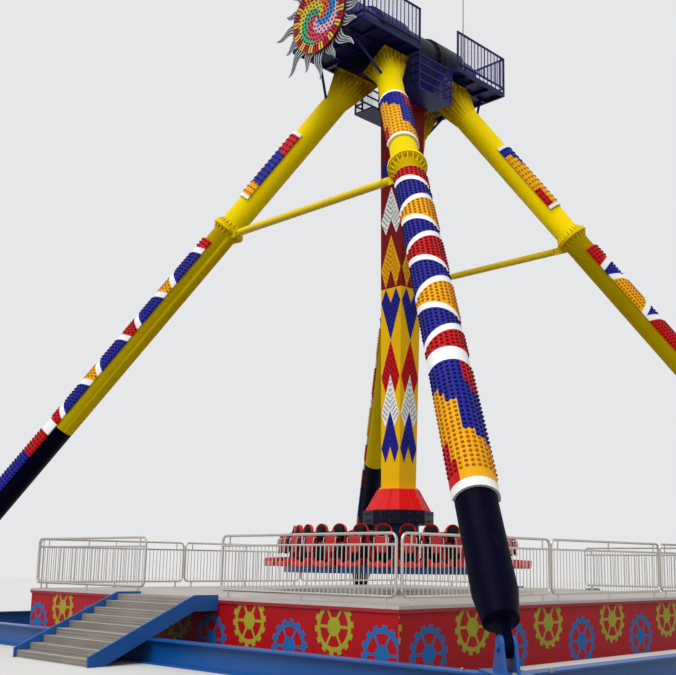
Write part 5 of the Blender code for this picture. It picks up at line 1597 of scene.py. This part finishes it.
# %% [markdown]
# ## Seats
#
# A seat is a moulded glass-fibre bucket and an arched back with a deep hood round the rider's head. The
# bucket starts as a box: its top is inset and pushed down for the hollow, it is bisected across and
# along, and its rim is raised into wings at the sides and a low pommel in the middle of the front. The
# back starts as a filled circle whose points are slid to the arch and gets its thickness from Solidify.
# Its front is inset and pushed in, and the rim round the head is extruded forwards for the hood. All of
# it is modelled at the origin, facing +X with its floor at z = 0, as the CAD seat is.

# %% Seat shell
SEAT_HALF = 0.25
SEAT_FLARE = 0.035
SEAT_DEPTH = 0.74
BUCKET_HEIGHT = 0.24
WALL = 0.045
BACK_HEIGHT = 1.05
BACK_THICKNESS = 0.10
HEAD_RADIUS = 0.2
SHOULDER = 0.56
HOOD_DEPTH = 0.15
ARCH_STEPS = 10
RECLINE = radians(-5)
WINGS = ((0.0, 0.55), (0.28, 0.80), (0.45, 1.0), (0.75, 0.95), (1.0, 1.0))
FRONT_RIM = ((0.0, 0.70), (0.06, 0.62), (0.15, 0.42), (0.28, 1.05))
SEAT_CUTS = (0.15, 0.06)
SHOULDER_RISE = 0.08
TOE_LIFT = 0.035
BACK_FOOT = 0.02
BACK_RIM = 0.048
BACK_HOLLOW = 0.055
NEARLY = 0.001
SHARP = radians(40)


def between(table, x):
    """A value from a table of places and values, on a straight line between two of them."""
    for (x1, h1), (x2, h2) in zip(table, table[1:]):
        if x <= x2:
            return h1 + (h2 - h1) * (x - x1) / (x2 - x1)
    return table[-1][1]


def arch(half, shoulder, top, radius, base):
    """An arched outline: straight sides, sloping shoulders and a round head."""
    turns = [pi * k / ARCH_STEPS for k in range(ARCH_STEPS + 1)]
    head = [(radius * cos(turn), top - radius + radius * sin(turn)) for turn in turns]
    neck = shoulder + SHOULDER_RISE
    return [(-half, base), (half, base), (half, shoulder), (radius, neck), *head, (-radius, neck),
            (-half, shoulder)]


def arched_plate(name, outline, x, thickness):
    """A plate with an arched outline, standing in the YZ plane with its back at x."""
    start_clean()
    bpy.ops.mesh.primitive_circle_add(vertices=len(outline), fill_type="NGON")
    plate = named(name)
    for v, (y, z) in zip(plate.data.vertices, outline):
        v.co = (x, y, z)
    face_towards(plate, Vector((1, 0, 0)))
    return apply_modifier(plate, "SOLIDIFY", thickness=thickness, offset=1)


def recline(piece):
    """Leans a piece back about the seat's rear edge."""
    piece.data.transform(Matrix.Rotation(RECLINE, 4, "Y"))
    return piece


bucket = add_box("bucket", (0, -SEAT_HALF, 0), (SEAT_DEPTH, SEAT_HALF, BUCKET_HEIGHT))
edit(bucket)
choose(bucket, "FACE", lambda f: f.normal.z > 0.9)
bpy.ops.mesh.inset(thickness=WALL)
bpy.ops.transform.translate(value=(0, 0, WALL - BUCKET_HEIGHT))
for share, _ in WINGS[1:-1]:
    bpy.ops.mesh.select_all(action="SELECT")
    bpy.ops.mesh.bisect(plane_co=(share * SEAT_DEPTH, 0, 0), plane_no=(1, 0, 0))
for side in (-1, 0, 1):
    for cut in SEAT_CUTS if side else (0,):
        bpy.ops.mesh.select_all(action="SELECT")
        bpy.ops.mesh.bisect(plane_co=(0, side * cut, 0), plane_no=(0, 1, 0))
close_edit()
for v in bucket.data.vertices:
    share = v.co.x / SEAT_DEPTH
    if v.co.z > BUCKET_HEIGHT - NEARLY:
        v.co.z = BUCKET_HEIGHT * between(WINGS, share)
        if share > 0.9:
            v.co.z = BUCKET_HEIGHT * between(FRONT_RIM, abs(v.co.y))
    if v.co.z < NEARLY and share > 0.7:
        v.co.z = TOE_LIFT * abs(v.co.y) / SEAT_HALF
    if abs(v.co.y) > SEAT_HALF - WALL - NEARLY:
        v.co.y += SEAT_FLARE * share * (1 if v.co.y > 0 else -1)
apply_modifier(bucket, "BEVEL", width=0.016, segments=2, limit_method="ANGLE", angle_limit=SHARP)

back_outline = arch(SEAT_HALF, SHOULDER, BACK_HEIGHT, HEAD_RADIUS, BACK_FOOT)
back = arched_plate("back", back_outline, 0.0, BACK_THICKNESS)
edit(back)
choose(back, "FACE", lambda f: f.normal.x > 0.9 and len(f.verts) > 4)
bpy.ops.mesh.inset(thickness=BACK_RIM)
bpy.ops.transform.translate(value=(-BACK_HOLLOW, 0, 0))
choose(back, "FACE", lambda f: f.normal.x > 0.9 and len(f.verts) == 4
       and f.calc_center_median().z > SHOULDER + BACK_RIM)
bpy.ops.mesh.extrude_region_move(TRANSFORM_OT_translate={"value": (HOOD_DEPTH, 0, 0)})
close_edit()
apply_modifier(back, "BEVEL", width=0.012, segments=2, limit_method="ANGLE", angle_limit=SHARP)
recline(back)
seat_shell = join("seat_shell", [bucket, back])
# The bucket's sides take the second slot, black gel coat: painted shade in the gaps between neighbouring
# seats
for face in seat_shell.data.polygons:
    beside = abs(face.normal.y) > 0.7 and abs(face.center.y) > SEAT_HALF - 0.03
    face.material_index = int(beside and face.center.z < BUCKET_HEIGHT and face.center.x < 0.8 * SEAT_DEPTH)
print("seat shell faces:", len(seat_shell.data.polygons))

# %% [markdown]
# The pads are black integral-skin foam, moulded with a crown. A pad starts as a box, is subdivided, and
# its face swells in the middle while its sides pull in: each point moves out by a share that falls to
# nothing at the edges. There is one pad in the bucket, one at the back and one inside the hood.

# %% Seat pads
PAD_BEVEL = 0.012
PAD_PULL = 0.12
# Each pad's low and high corner, its crown and the axis that its face looks along
PADS = {"seat_pad": ((0.08, -0.19, 0.048), (0.66, 0.19, 0.085), 0.025, 2),
        "back_pad": ((0.048, -0.20, 0.10), (0.085, 0.20, 0.56), 0.025, 0),
        "head_pad": ((0.048, -0.14, 0.62), (0.10, 0.14, 0.985), 0.03, 0)}


def crowned_pad(name, low, high, crown, axis):
    """A box with rounded edges whose face along one axis swells in the middle."""
    pad = add_box(name, low, high)
    edit(pad)
    bpy.ops.mesh.subdivide(number_cuts=3)
    close_edit()
    middle = [(a + b) / 2 for a, b in zip(low, high)]
    half = [(b - a) / 2 for a, b in zip(low, high)]
    for v in pad.data.vertices:
        shares = [(v.co[k] - middle[k]) / half[k] for k in range(3)]
        swell = 1.0
        for k in range(3):
            if k != axis:
                swell *= 1 - shares[k] ** 2
                v.co[k] -= PAD_PULL * half[k] * shares[k] * max(0.0, shares[axis]) * abs(shares[k])
        if shares[axis] > 0.9:
            v.co[axis] += crown * swell
    return apply_modifier(pad, "BEVEL", width=PAD_BEVEL, segments=2, limit_method="ANGLE",
                          angle_limit=radians(50))


seat_pad, back_pad, head_pad = (crowned_pad(name, *row) for name, row in PADS.items())
pads = join("seat_pads", [seat_pad, recline(back_pad), recline(head_pad)])
print("pad faces:", len(pads.data.polygons))

# %% [markdown]
# The restraint is a bent steel tube over each shoulder, joined by a moulded red vest in front of the
# chest, with a bright grip on either side. The tube is a chain of edges, extruded point by point along its
# line, turned into a curve with a round section and made a mesh again. The vest is a filled circle slid
# to its outline, thickened and bevelled.

# %% Shoulder restraint
TUBE_LINE = [(-0.05, 0.64), (-0.05, 0.74), (-0.02, 0.80), (0.06, 0.83), (0.18, 0.82), (0.28, 0.77),
             (0.34, 0.67), (0.375, 0.50), (0.385, 0.34)]
TUBE_HALF = 0.228
TUBE_RADIUS = 0.022
CROSS_X = 0.352
CROSS_HEIGHTS = (0.42, 0.66)
CROSS_RADIUS = 0.018
GRIP_LINE = [(0.39, 0.50), (0.44, 0.51), (0.455, 0.56), (0.445, 0.66), (0.36, 0.67)]
GRIP_HALF = 0.17
GRIP_RADIUS = 0.013
# The vest is broad at the chest and narrow at the belly, with a gap at the neck. This is its right half
VEST_HALF = [(0.10, 0.30), (0.135, 0.40), (0.16, 0.58), (0.165, 0.72), (0.12, 0.78), (0.08, 0.76),
             (0.05, 0.70)]
VEST_X = 0.36
VEST_THICKNESS = 0.06


def bent_tube(name, points, radius):
    """A tube along a line of points."""
    start_clean()
    bpy.ops.mesh.primitive_plane_add(size=1)
    tube = named(name)
    edit(tube)
    choose(tube, "VERT", lambda v: v.index > 0)
    bpy.ops.mesh.delete(type="VERT")
    close_edit()
    tube.data.vertices[0].co = points[0]
    edit(tube)
    for start, end in zip(points, points[1:]):
        bpy.ops.mesh.extrude_region_move(TRANSFORM_OT_translate={"value": Vector(end) - Vector(start)})
    close_edit()
    bpy.ops.object.convert(target="CURVE")
    tube = bpy.context.object
    tube.data.bevel_depth = radius
    tube.data.bevel_resolution = 2
    tube.data.use_fill_caps = True
    bpy.ops.object.convert(target="MESH")
    return named(name)


def tube_pair(name, line, half, radius):
    """The same bent tube on either side."""
    return [bent_tube(name, [(x, side * half, z) for x, z in line], radius) for side in (-1, 1)]


tubes = tube_pair("tube", TUBE_LINE, TUBE_HALF, TUBE_RADIUS)
tubes += [add_round("cross_bar", CROSS_RADIUS, (CROSS_X, -TUBE_HALF, z), (CROSS_X, TUBE_HALF, z), 8)
          for z in CROSS_HEIGHTS]
restraint_tubes = recline(join("restraint_tubes", tubes))
grip_pair = recline(join("grip_pair", tube_pair("grip", GRIP_LINE, GRIP_HALF, GRIP_RADIUS)))
vest_outline = [(-VEST_HALF[0][0], VEST_HALF[0][1]), *VEST_HALF, *[(-y, z) for y, z in VEST_HALF[:0:-1]]]
vest = arched_plate("vest", vest_outline, VEST_X, VEST_THICKNESS)
apply_modifier(vest, "BEVEL", width=0.02, segments=3, limit_method="ANGLE", angle_limit=SHARP)
recline(vest)
print("restraint faces:", len(restraint_tubes.data.polygons) + len(vest.data.polygons))

# %% [markdown]
# Glass fibre with a red gel coat is glossy with a soft sheen, and fades on the surfaces that see the
# sky. Integral-skin foam is black, matte and lightly pebbled: real pebbles are 1 mm, drawn at 8 mm.

# %% Seat finishes
GEL_PEEL_MM = 60
PEBBLE_MM = 8


def gel_coat(name, colour):
    """Glass fibre with a coloured gel coat."""
    material, shader = new_material(name, Roughness=0.3, Specular_IOR_Level=0.35, Coat_Weight=0.1,
                                    Coat_Roughness=0.12)
    plug(material, weathered(material, colour, 0.06), shader, "Base Color")
    orange_peel(material, shader, GEL_PEEL_MM, 0.05)
    return material


def foam_skin(name, colour):
    """Integral-skin foam with a pebbled face."""
    material, shader = new_material(name, Roughness=0.62, Specular_IOR_Level=0.1)
    where = add_node(material, "TexCoord").outputs["Object"]
    pebbles = add_node(material, "TexVoronoi", {"Vector": where, "Scale": per_metre(PEBBLE_MM)})
    bump = add_node(material, "Bump", {"Strength": 0.35, "Distance": 0.002,
                                       "Height": pebbles.outputs["Distance"]})
    tone = add_node(material, "TexNoise", {"Vector": where, "Scale": 7.0})
    mixed = add_node(material, "Mix", {"Factor": tone.outputs["Fac"], "A": colour,
                                       "B": "#141416"}, data_type="RGBA")
    plug(material, mixed.outputs["Result"], shader, "Base Color")
    plug(material, bump.outputs["Normal"], shader, "Normal")
    return material


red_gel = gel_coat("red_gel_coat", "#CA1C1C")
# Black gel coat for the buckets' sides, as painted shade between the seats
shade_black_gel = gel_coat("painted_shade_black_gel_coat", "#0E0E12")
vest_red = gel_coat("red_moulded_vest", "#B0161A")
black_foam = foam_skin("black_integral_skin_foam", "#0C0C0E")
print("seat finishes ready")

# %% [markdown]
# The finished seat is copied round the ring, six seats to a bank, and each bank stands for its CAD node.
# The pads, tubes and vests are pieces of their own, because they are other materials and other parts.

# %% Seats round the ring
BANKS = 5
SEATS_IN_BANK = 6
SEAT_RADIUS = 2.78
SEAT_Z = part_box("seat_bank_1")[0].z


def seat_places(bank):
    """The places of a bank's seats round the ring."""
    middle = 2 * pi * bank / BANKS
    pitch = 2 * pi / (BANKS * SEATS_IN_BANK)
    angles = [middle + (seat - (SEATS_IN_BANK - 1) / 2) * pitch for seat in range(SEATS_IN_BANK)]
    return [Matrix.Rotation(a, 4, "Z") @ Matrix.Translation((SEAT_RADIUS, 0, SEAT_Z)) for a in angles]


for bank in range(BANKS):
    places = seat_places(bank)
    number = bank + 1
    shells = lay_copies(f"seats_{number}", seat_shell, places)
    finish(shells, "gondola", [red_gel, shade_black_gel], [f"seat_bank_{number}"])
    cushions = lay_copies(f"seat_pads_{number}", pads, places)
    finish(cushions, "gondola", [black_foam], angle=60)
    bars = lay_copies(f"restraint_tubes_{number}", restraint_tubes, places)
    finish(bars, "gondola", [black_foam], [f"restraints_{number}"])
    vests = lay_copies(f"restraint_vests_{number}", vest, places)
    finish(vests, "gondola", [vest_red])
    grip_rows = lay_copies(f"restraint_grips_{number}", grip_pair, places)
    finish(grip_rows, "gondola", [stainless])
discard(seat_shell, pads, restraint_tubes, vest, grip_pair)
print("seats:", BANKS * SEATS_IN_BANK)

# %% [markdown]
# ## Skirt and slewing ring
#
# The skirt's eight plates are welded edge to edge, with a flat seam down each corner and each middle. A
# seam is a thin bar from the arm's foot to the skirt's lower edge. The octagonal slewing ring below has
# a row of bolts through each of its sides.

# %% Seams and bolts
SEAM_RADIUS = 0.007
# The radius and height of the skirt's corners, at its top and at its foot
SKIRT_TOP = (0.56, 3.9)
SKIRT_FOOT = (0.88, 3.33)
OCTAGON = cos(pi / 8)
RING_RADIUS = 0.95
RING_BOLT_STEP = 0.24
RING_BOLT_INSET = 0.08
ring_low, ring_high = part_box("slew_ring")
seams = []
for number in range(16):
    angle = pi / 8 * (number + 1)
    reach = 1.0 if number % 2 == 0 else OCTAGON
    spot = Vector((cos(angle), sin(angle), 0)) * reach
    top, foot = (spot * radius + Vector((0, 0, z)) for radius, z in (SKIRT_TOP, SKIRT_FOOT))
    seams.append(add_round("seam", SEAM_RADIUS, top, foot, 6))
finish(join("skirt_seams", seams), "pendulum", [enamel("dark_red_seam_enamel", "#A80C10")])
places = []
for side in range(8):
    angle = pi / 4 * side
    out = Vector((cos(angle), sin(angle), 0))
    across = Vector((-sin(angle), cos(angle), 0))
    for step in (-1, 0, 1):
        for z in (ring_low.z + RING_BOLT_INSET, ring_high.z - RING_BOLT_INSET):
            spot = out * RING_RADIUS * OCTAGON + across * RING_BOLT_STEP * step
            places.append(place_at(spot + Vector((0, 0, z)), out, (0, 0, 1)))
finish(lay_copies("slewing_ring_bolts", bolt, places), "gondola", [navy_enamel])
print("slewing ring bolts:", len(places))

# %% [markdown]
# ## Stairs and deck
#
# The treads have a bright worn strip along the front edge, and the stringers beside them are blue. The
# CAD stairs are one node, so one material tells them apart by their distance from the middle.

# %% Stairs
STAIR_HALF = 1.40
RISERS = 9
RUN = 0.28
NOSING = 0.045
NOSING_SKIN = 0.006
NOSING_CLEAR = 0.01
TOP_NOSING = 0.05


def stair_paint():
    """Galvanised chequer treads between blue enamel stringers."""
    material = chequer_plate("galvanised_treads_and_blue_stringers", "#8C847A")
    shader = material.node_tree.nodes["Principled BSDF"]
    treads = shader.inputs["Base Color"].links[0].from_socket
    where = add_node(material, "TexCoord").outputs["Object"]
    across = add_node(material, "SeparateXYZ", {"Vector": where}).outputs["X"]
    across = add_node(material, "Math", {0: across}, operation="ABSOLUTE").outputs["Value"]
    beyond = add_node(material, "Math", {0: across, 1: STAIR_HALF - 0.001},
                      operation="GREATER_THAN").outputs["Value"]
    two = add_node(material, "Mix", {"Factor": beyond, "A": treads, "B": "#0B5AA8"},
                   data_type="RGBA")
    metal = add_node(material, "MapRange", {"Value": beyond, "To Min": PLATE_METALLIC, "To Max": 0.0})
    plug(material, two.outputs["Result"], shader, "Base Color")
    plug(material, metal.outputs["Result"], shader, "Metallic")
    return material


stair_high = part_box("stairs_rear")[1]
nosing_half = STAIR_HALF - NOSING_CLEAR
nosing = add_box("nosing", (-nosing_half, -NOSING, 0), (nosing_half, NOSING_SKIN, NOSING_SKIN))
apply_modifier(nosing, "BEVEL", width=0.002, segments=1)
places = []
for side in (1, -1):
    for step in range(RISERS - 1):
        y = stair_high.y - TOP_NOSING - step * RUN
        z = (step + 1) * DECK_TOP / RISERS
        turn = Matrix.Rotation(0 if side > 0 else pi, 4, "Z")
        places.append(Matrix.Translation((0, side * y, z)) @ turn)
nosings = lay_copies("stair_nosings", nosing, places)
finish(nosings, "base_frame", [brushed_steel("worn_aluminium_nosing", "#D6D0C8", 0.4)])
discard(nosing)
stairs_paint = stair_paint()
print("nosings:", len(places))

# %% [markdown]
# The fascia is red sheet with painted wheels in yellow-green and blue. The pattern here is a layout of
# our own: along each wall, wheels with square teeth and six spokes come at even steps, every other one
# blue and set lower. The material unrolls each wall by the side it faces and draws a wheel from the
# distance and angle round the nearest step.

# %% Fascia paint
WHEEL_STEP = 1.22
WHEEL_RADIUS = 0.45
WHEEL_RIM = 0.085
TEETH = 14
SPOKES = 6
WHEEL_MIDDLE = 0.80
WHEEL_DROP = 0.42
TOOTH_HEIGHT = 0.06
SPOKE_WIDTH = 0.075
WHEEL_HUB = 0.17


def fascia_paint():
    """Red enamel with painted wheels."""
    material, shader = new_material("red_enamel_with_painted_wheels", Roughness=0.45, Specular_IOR_Level=0.2)
    where = add_node(material, "TexCoord").outputs["Object"]
    spot = add_node(material, "SeparateXYZ", {"Vector": where}).outputs
    facing = add_node(material, "NewGeometry").outputs["Normal"]
    faced = add_node(material, "SeparateXYZ", {"Vector": facing}).outputs
    sums = work_out(material, {"x": spot["X"], "y": spot["Y"], "z": spot["Z"]}, [
        ("faces x", "ABSOLUTE", faced["X"]), ("faces y", "ABSOLUTE", faced["Y"]),
        ("along x", "MULTIPLY", "x", "faces y"), ("along y", "MULTIPLY", "y", "faces x"),
        ("along", "ADD", "along x", "along y"), ("steps", "DIVIDE", "along", WHEEL_STEP),
        ("nearest", "ROUND", "steps"), ("parity", "MODULO", "nearest", 2.0), ("odd", "ABSOLUTE", "parity"),
        ("past", "SUBTRACT", "steps", "nearest"), ("across", "MULTIPLY", "past", WHEEL_STEP),
        ("drop", "MULTIPLY", "odd", WHEEL_DROP), ("middle", "SUBTRACT", WHEEL_MIDDLE, "drop"),
        ("up", "SUBTRACT", "z", "middle"), ("across squared", "MULTIPLY", "across", "across"),
        ("up squared", "MULTIPLY", "up", "up"), ("both squared", "ADD", "across squared", "up squared"),
        ("radius", "SQRT", "both squared"), ("angle", "ARCTAN2", "up", "across"),
        ("tooth angle", "MULTIPLY", "angle", TEETH), ("wave", "SINE", "tooth angle"),
        ("tooth", "GREATER_THAN", "wave", 0.0), ("height", "MULTIPLY", "tooth", TOOTH_HEIGHT),
        ("edge", "ADD", WHEEL_RADIUS, "height"), ("in edge", "LESS_THAN", "radius", "edge"),
        ("past rim", "GREATER_THAN", "radius", WHEEL_RADIUS - WHEEL_RIM),
        ("rim", "MULTIPLY", "in edge", "past rim"), ("spoke angle", "MULTIPLY", "angle", SPOKES / 2),
        ("spoke wave", "SINE", "spoke angle"), ("spread", "ABSOLUTE", "spoke wave"),
        ("off spoke", "MULTIPLY", "spread", "radius"), ("on spoke", "LESS_THAN", "off spoke", SPOKE_WIDTH),
        ("in wheel", "LESS_THAN", "radius", WHEEL_RADIUS), ("spokes", "MULTIPLY", "on spoke", "in wheel"),
        ("hub", "LESS_THAN", "radius", WHEEL_HUB), ("rim or spokes", "MAXIMUM", "rim", "spokes"),
        ("wheel", "MAXIMUM", "rim or spokes", "hub")])
    tint = add_node(material, "Mix", {"Factor": sums["odd"], "A": "#A8A42C",
                                      "B": "#1C6AB0"}, data_type="RGBA").outputs["Result"]
    painted = add_node(material, "Mix", {"Factor": sums["wheel"], "A": "#B20C18", "B": tint},
                       data_type="RGBA").outputs["Result"]
    spray(material, shader, painted, 0.15)
    return material


wheels_paint = fascia_paint()
print("fascia paint ready")

# %% [markdown]
# ## Finishes of the CAD pieces
#
# Every CAD node that still shows gets its finish here, by the name of the node. The deck's plate is
# galvanised on top, and its edge is painted: pale above, and red like the walls in its lower part.

# %% Dress the CAD nodes
PALE_EDGE = 0.055


def deck_paint():
    """Chequer plate on top, with a painted edge."""
    material = chequer_plate("galvanised_chequer_deck", "#B6AEA6")
    shader = material.node_tree.nodes["Principled BSDF"]
    plate = shader.inputs["Base Color"].links[0].from_socket
    material.node_tree.links.remove(shader.inputs["Normal"].links[0])
    where = add_node(material, "TexCoord").outputs["Object"]
    height = add_node(material, "SeparateXYZ", {"Vector": where}).outputs["Z"]
    facing = add_node(material, "NewGeometry").outputs["Normal"]
    facing = add_node(material, "SeparateXYZ", {"Vector": facing}).outputs["Z"]
    top = add_node(material, "Math", {0: facing, 1: 0.5}, operation="GREATER_THAN").outputs["Value"]
    pale = add_node(material, "Math", {0: height, 1: DECK_TOP - PALE_EDGE}, operation="GREATER_THAN")
    edge = add_node(material, "Mix", {"Factor": pale.outputs["Value"], "A": "#A4101C",
                                      "B": "#C6BEB8"}, data_type="RGBA")
    edge = weathered(material, edge.outputs["Result"], 0.2)
    both = add_node(material, "Mix", {"Factor": top, "A": edge, "B": plate}, data_type="RGBA")
    metal = add_node(material, "MapRange", {"Value": top, "To Min": 0.0, "To Max": PLATE_METALLIC})
    plug(material, both.outputs["Result"], shader, "Base Color")
    plug(material, metal.outputs["Result"], shader, "Metallic")
    return material


NODE_FINISHES = [("leg_", leg_enamel), ("beam_", blue_enamel), ("foot_", blue_enamel),
                 ("tie_", yellow_enamel), ("head_", dark_navy_enamel), ("drive_hood_", navy_enamel),
                 ("platform_", platform_enamel), ("lightning_rod", zinc), ("hub", dark_navy_enamel),
                 ("arm", arm_enamel), ("basket_", navy_enamel),
                 ("skirt_cone", red_enamel), ("slew_ring", dark_navy_enamel), ("gondola_drum", navy_enamel),
                 ("gondola_frame", blue_enamel), ("deck", deck_paint()), ("fascia", wheels_paint),
                 ("stairs_", stairs_paint)]
dressed = 0
for name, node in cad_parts.items():
    for start, material in NODE_FINISHES:
        if name.startswith(start):
            for material_slot in node.material_slots:
                material_slot.material = material
            dressed += 1
print("nodes dressed:", dressed, "of", len(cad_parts))

# %% [markdown]
# The CAD's round pieces come in as flat facets, which shine one by one. A CAD mesh isn't changed, so each
# of these nodes is copied, its doubled points are merged, and the copy is shaded smooth wherever two
# facets meet at less than 32 degrees. The copy has the same points, so it stands exactly for its node.

# %% Smooth copies of the round pieces
SMOOTH_ANGLE = 32


def smooth_copy(node, name, body):
    """A copy of a CAD node with smooth shading, which stands for the node."""
    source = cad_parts[node]
    mesh = source.data.copy()
    mesh.name = name
    piece = bpy.data.objects.new(name, mesh)
    bpy.context.scene.collection.objects.link(piece)
    edit(piece)
    bpy.ops.mesh.remove_doubles(threshold=0.00002)
    bpy.ops.mesh.tris_convert_to_quads(face_threshold=radians(0.5), shape_threshold=radians(180))
    close_edit()
    return finish(piece, body, replaces=[node], angle=SMOOTH_ANGLE)


for quarter in QUARTERS:
    smooth_copy(f"leg_{quarter}", f"smooth_leg_{quarter}", "base_frame")
smooth_copy("hub", "smooth_hub", "pendulum")
for end in ("front", "rear"):
    smooth_copy(f"head_{end}", f"smooth_head_{end}", "base_frame")
    smooth_copy(f"drive_hood_{end}", f"smooth_drive_hood_{end}", "base_frame")
    smooth_copy(f"tie_{end}", f"smooth_tie_{end}", "base_frame")
smooth_copy("gondola_drum", "smooth_gondola_drum", "gondola")
print("smooth copies: 12")

# %% Finish
discard(bolt, rib, big_bolt)
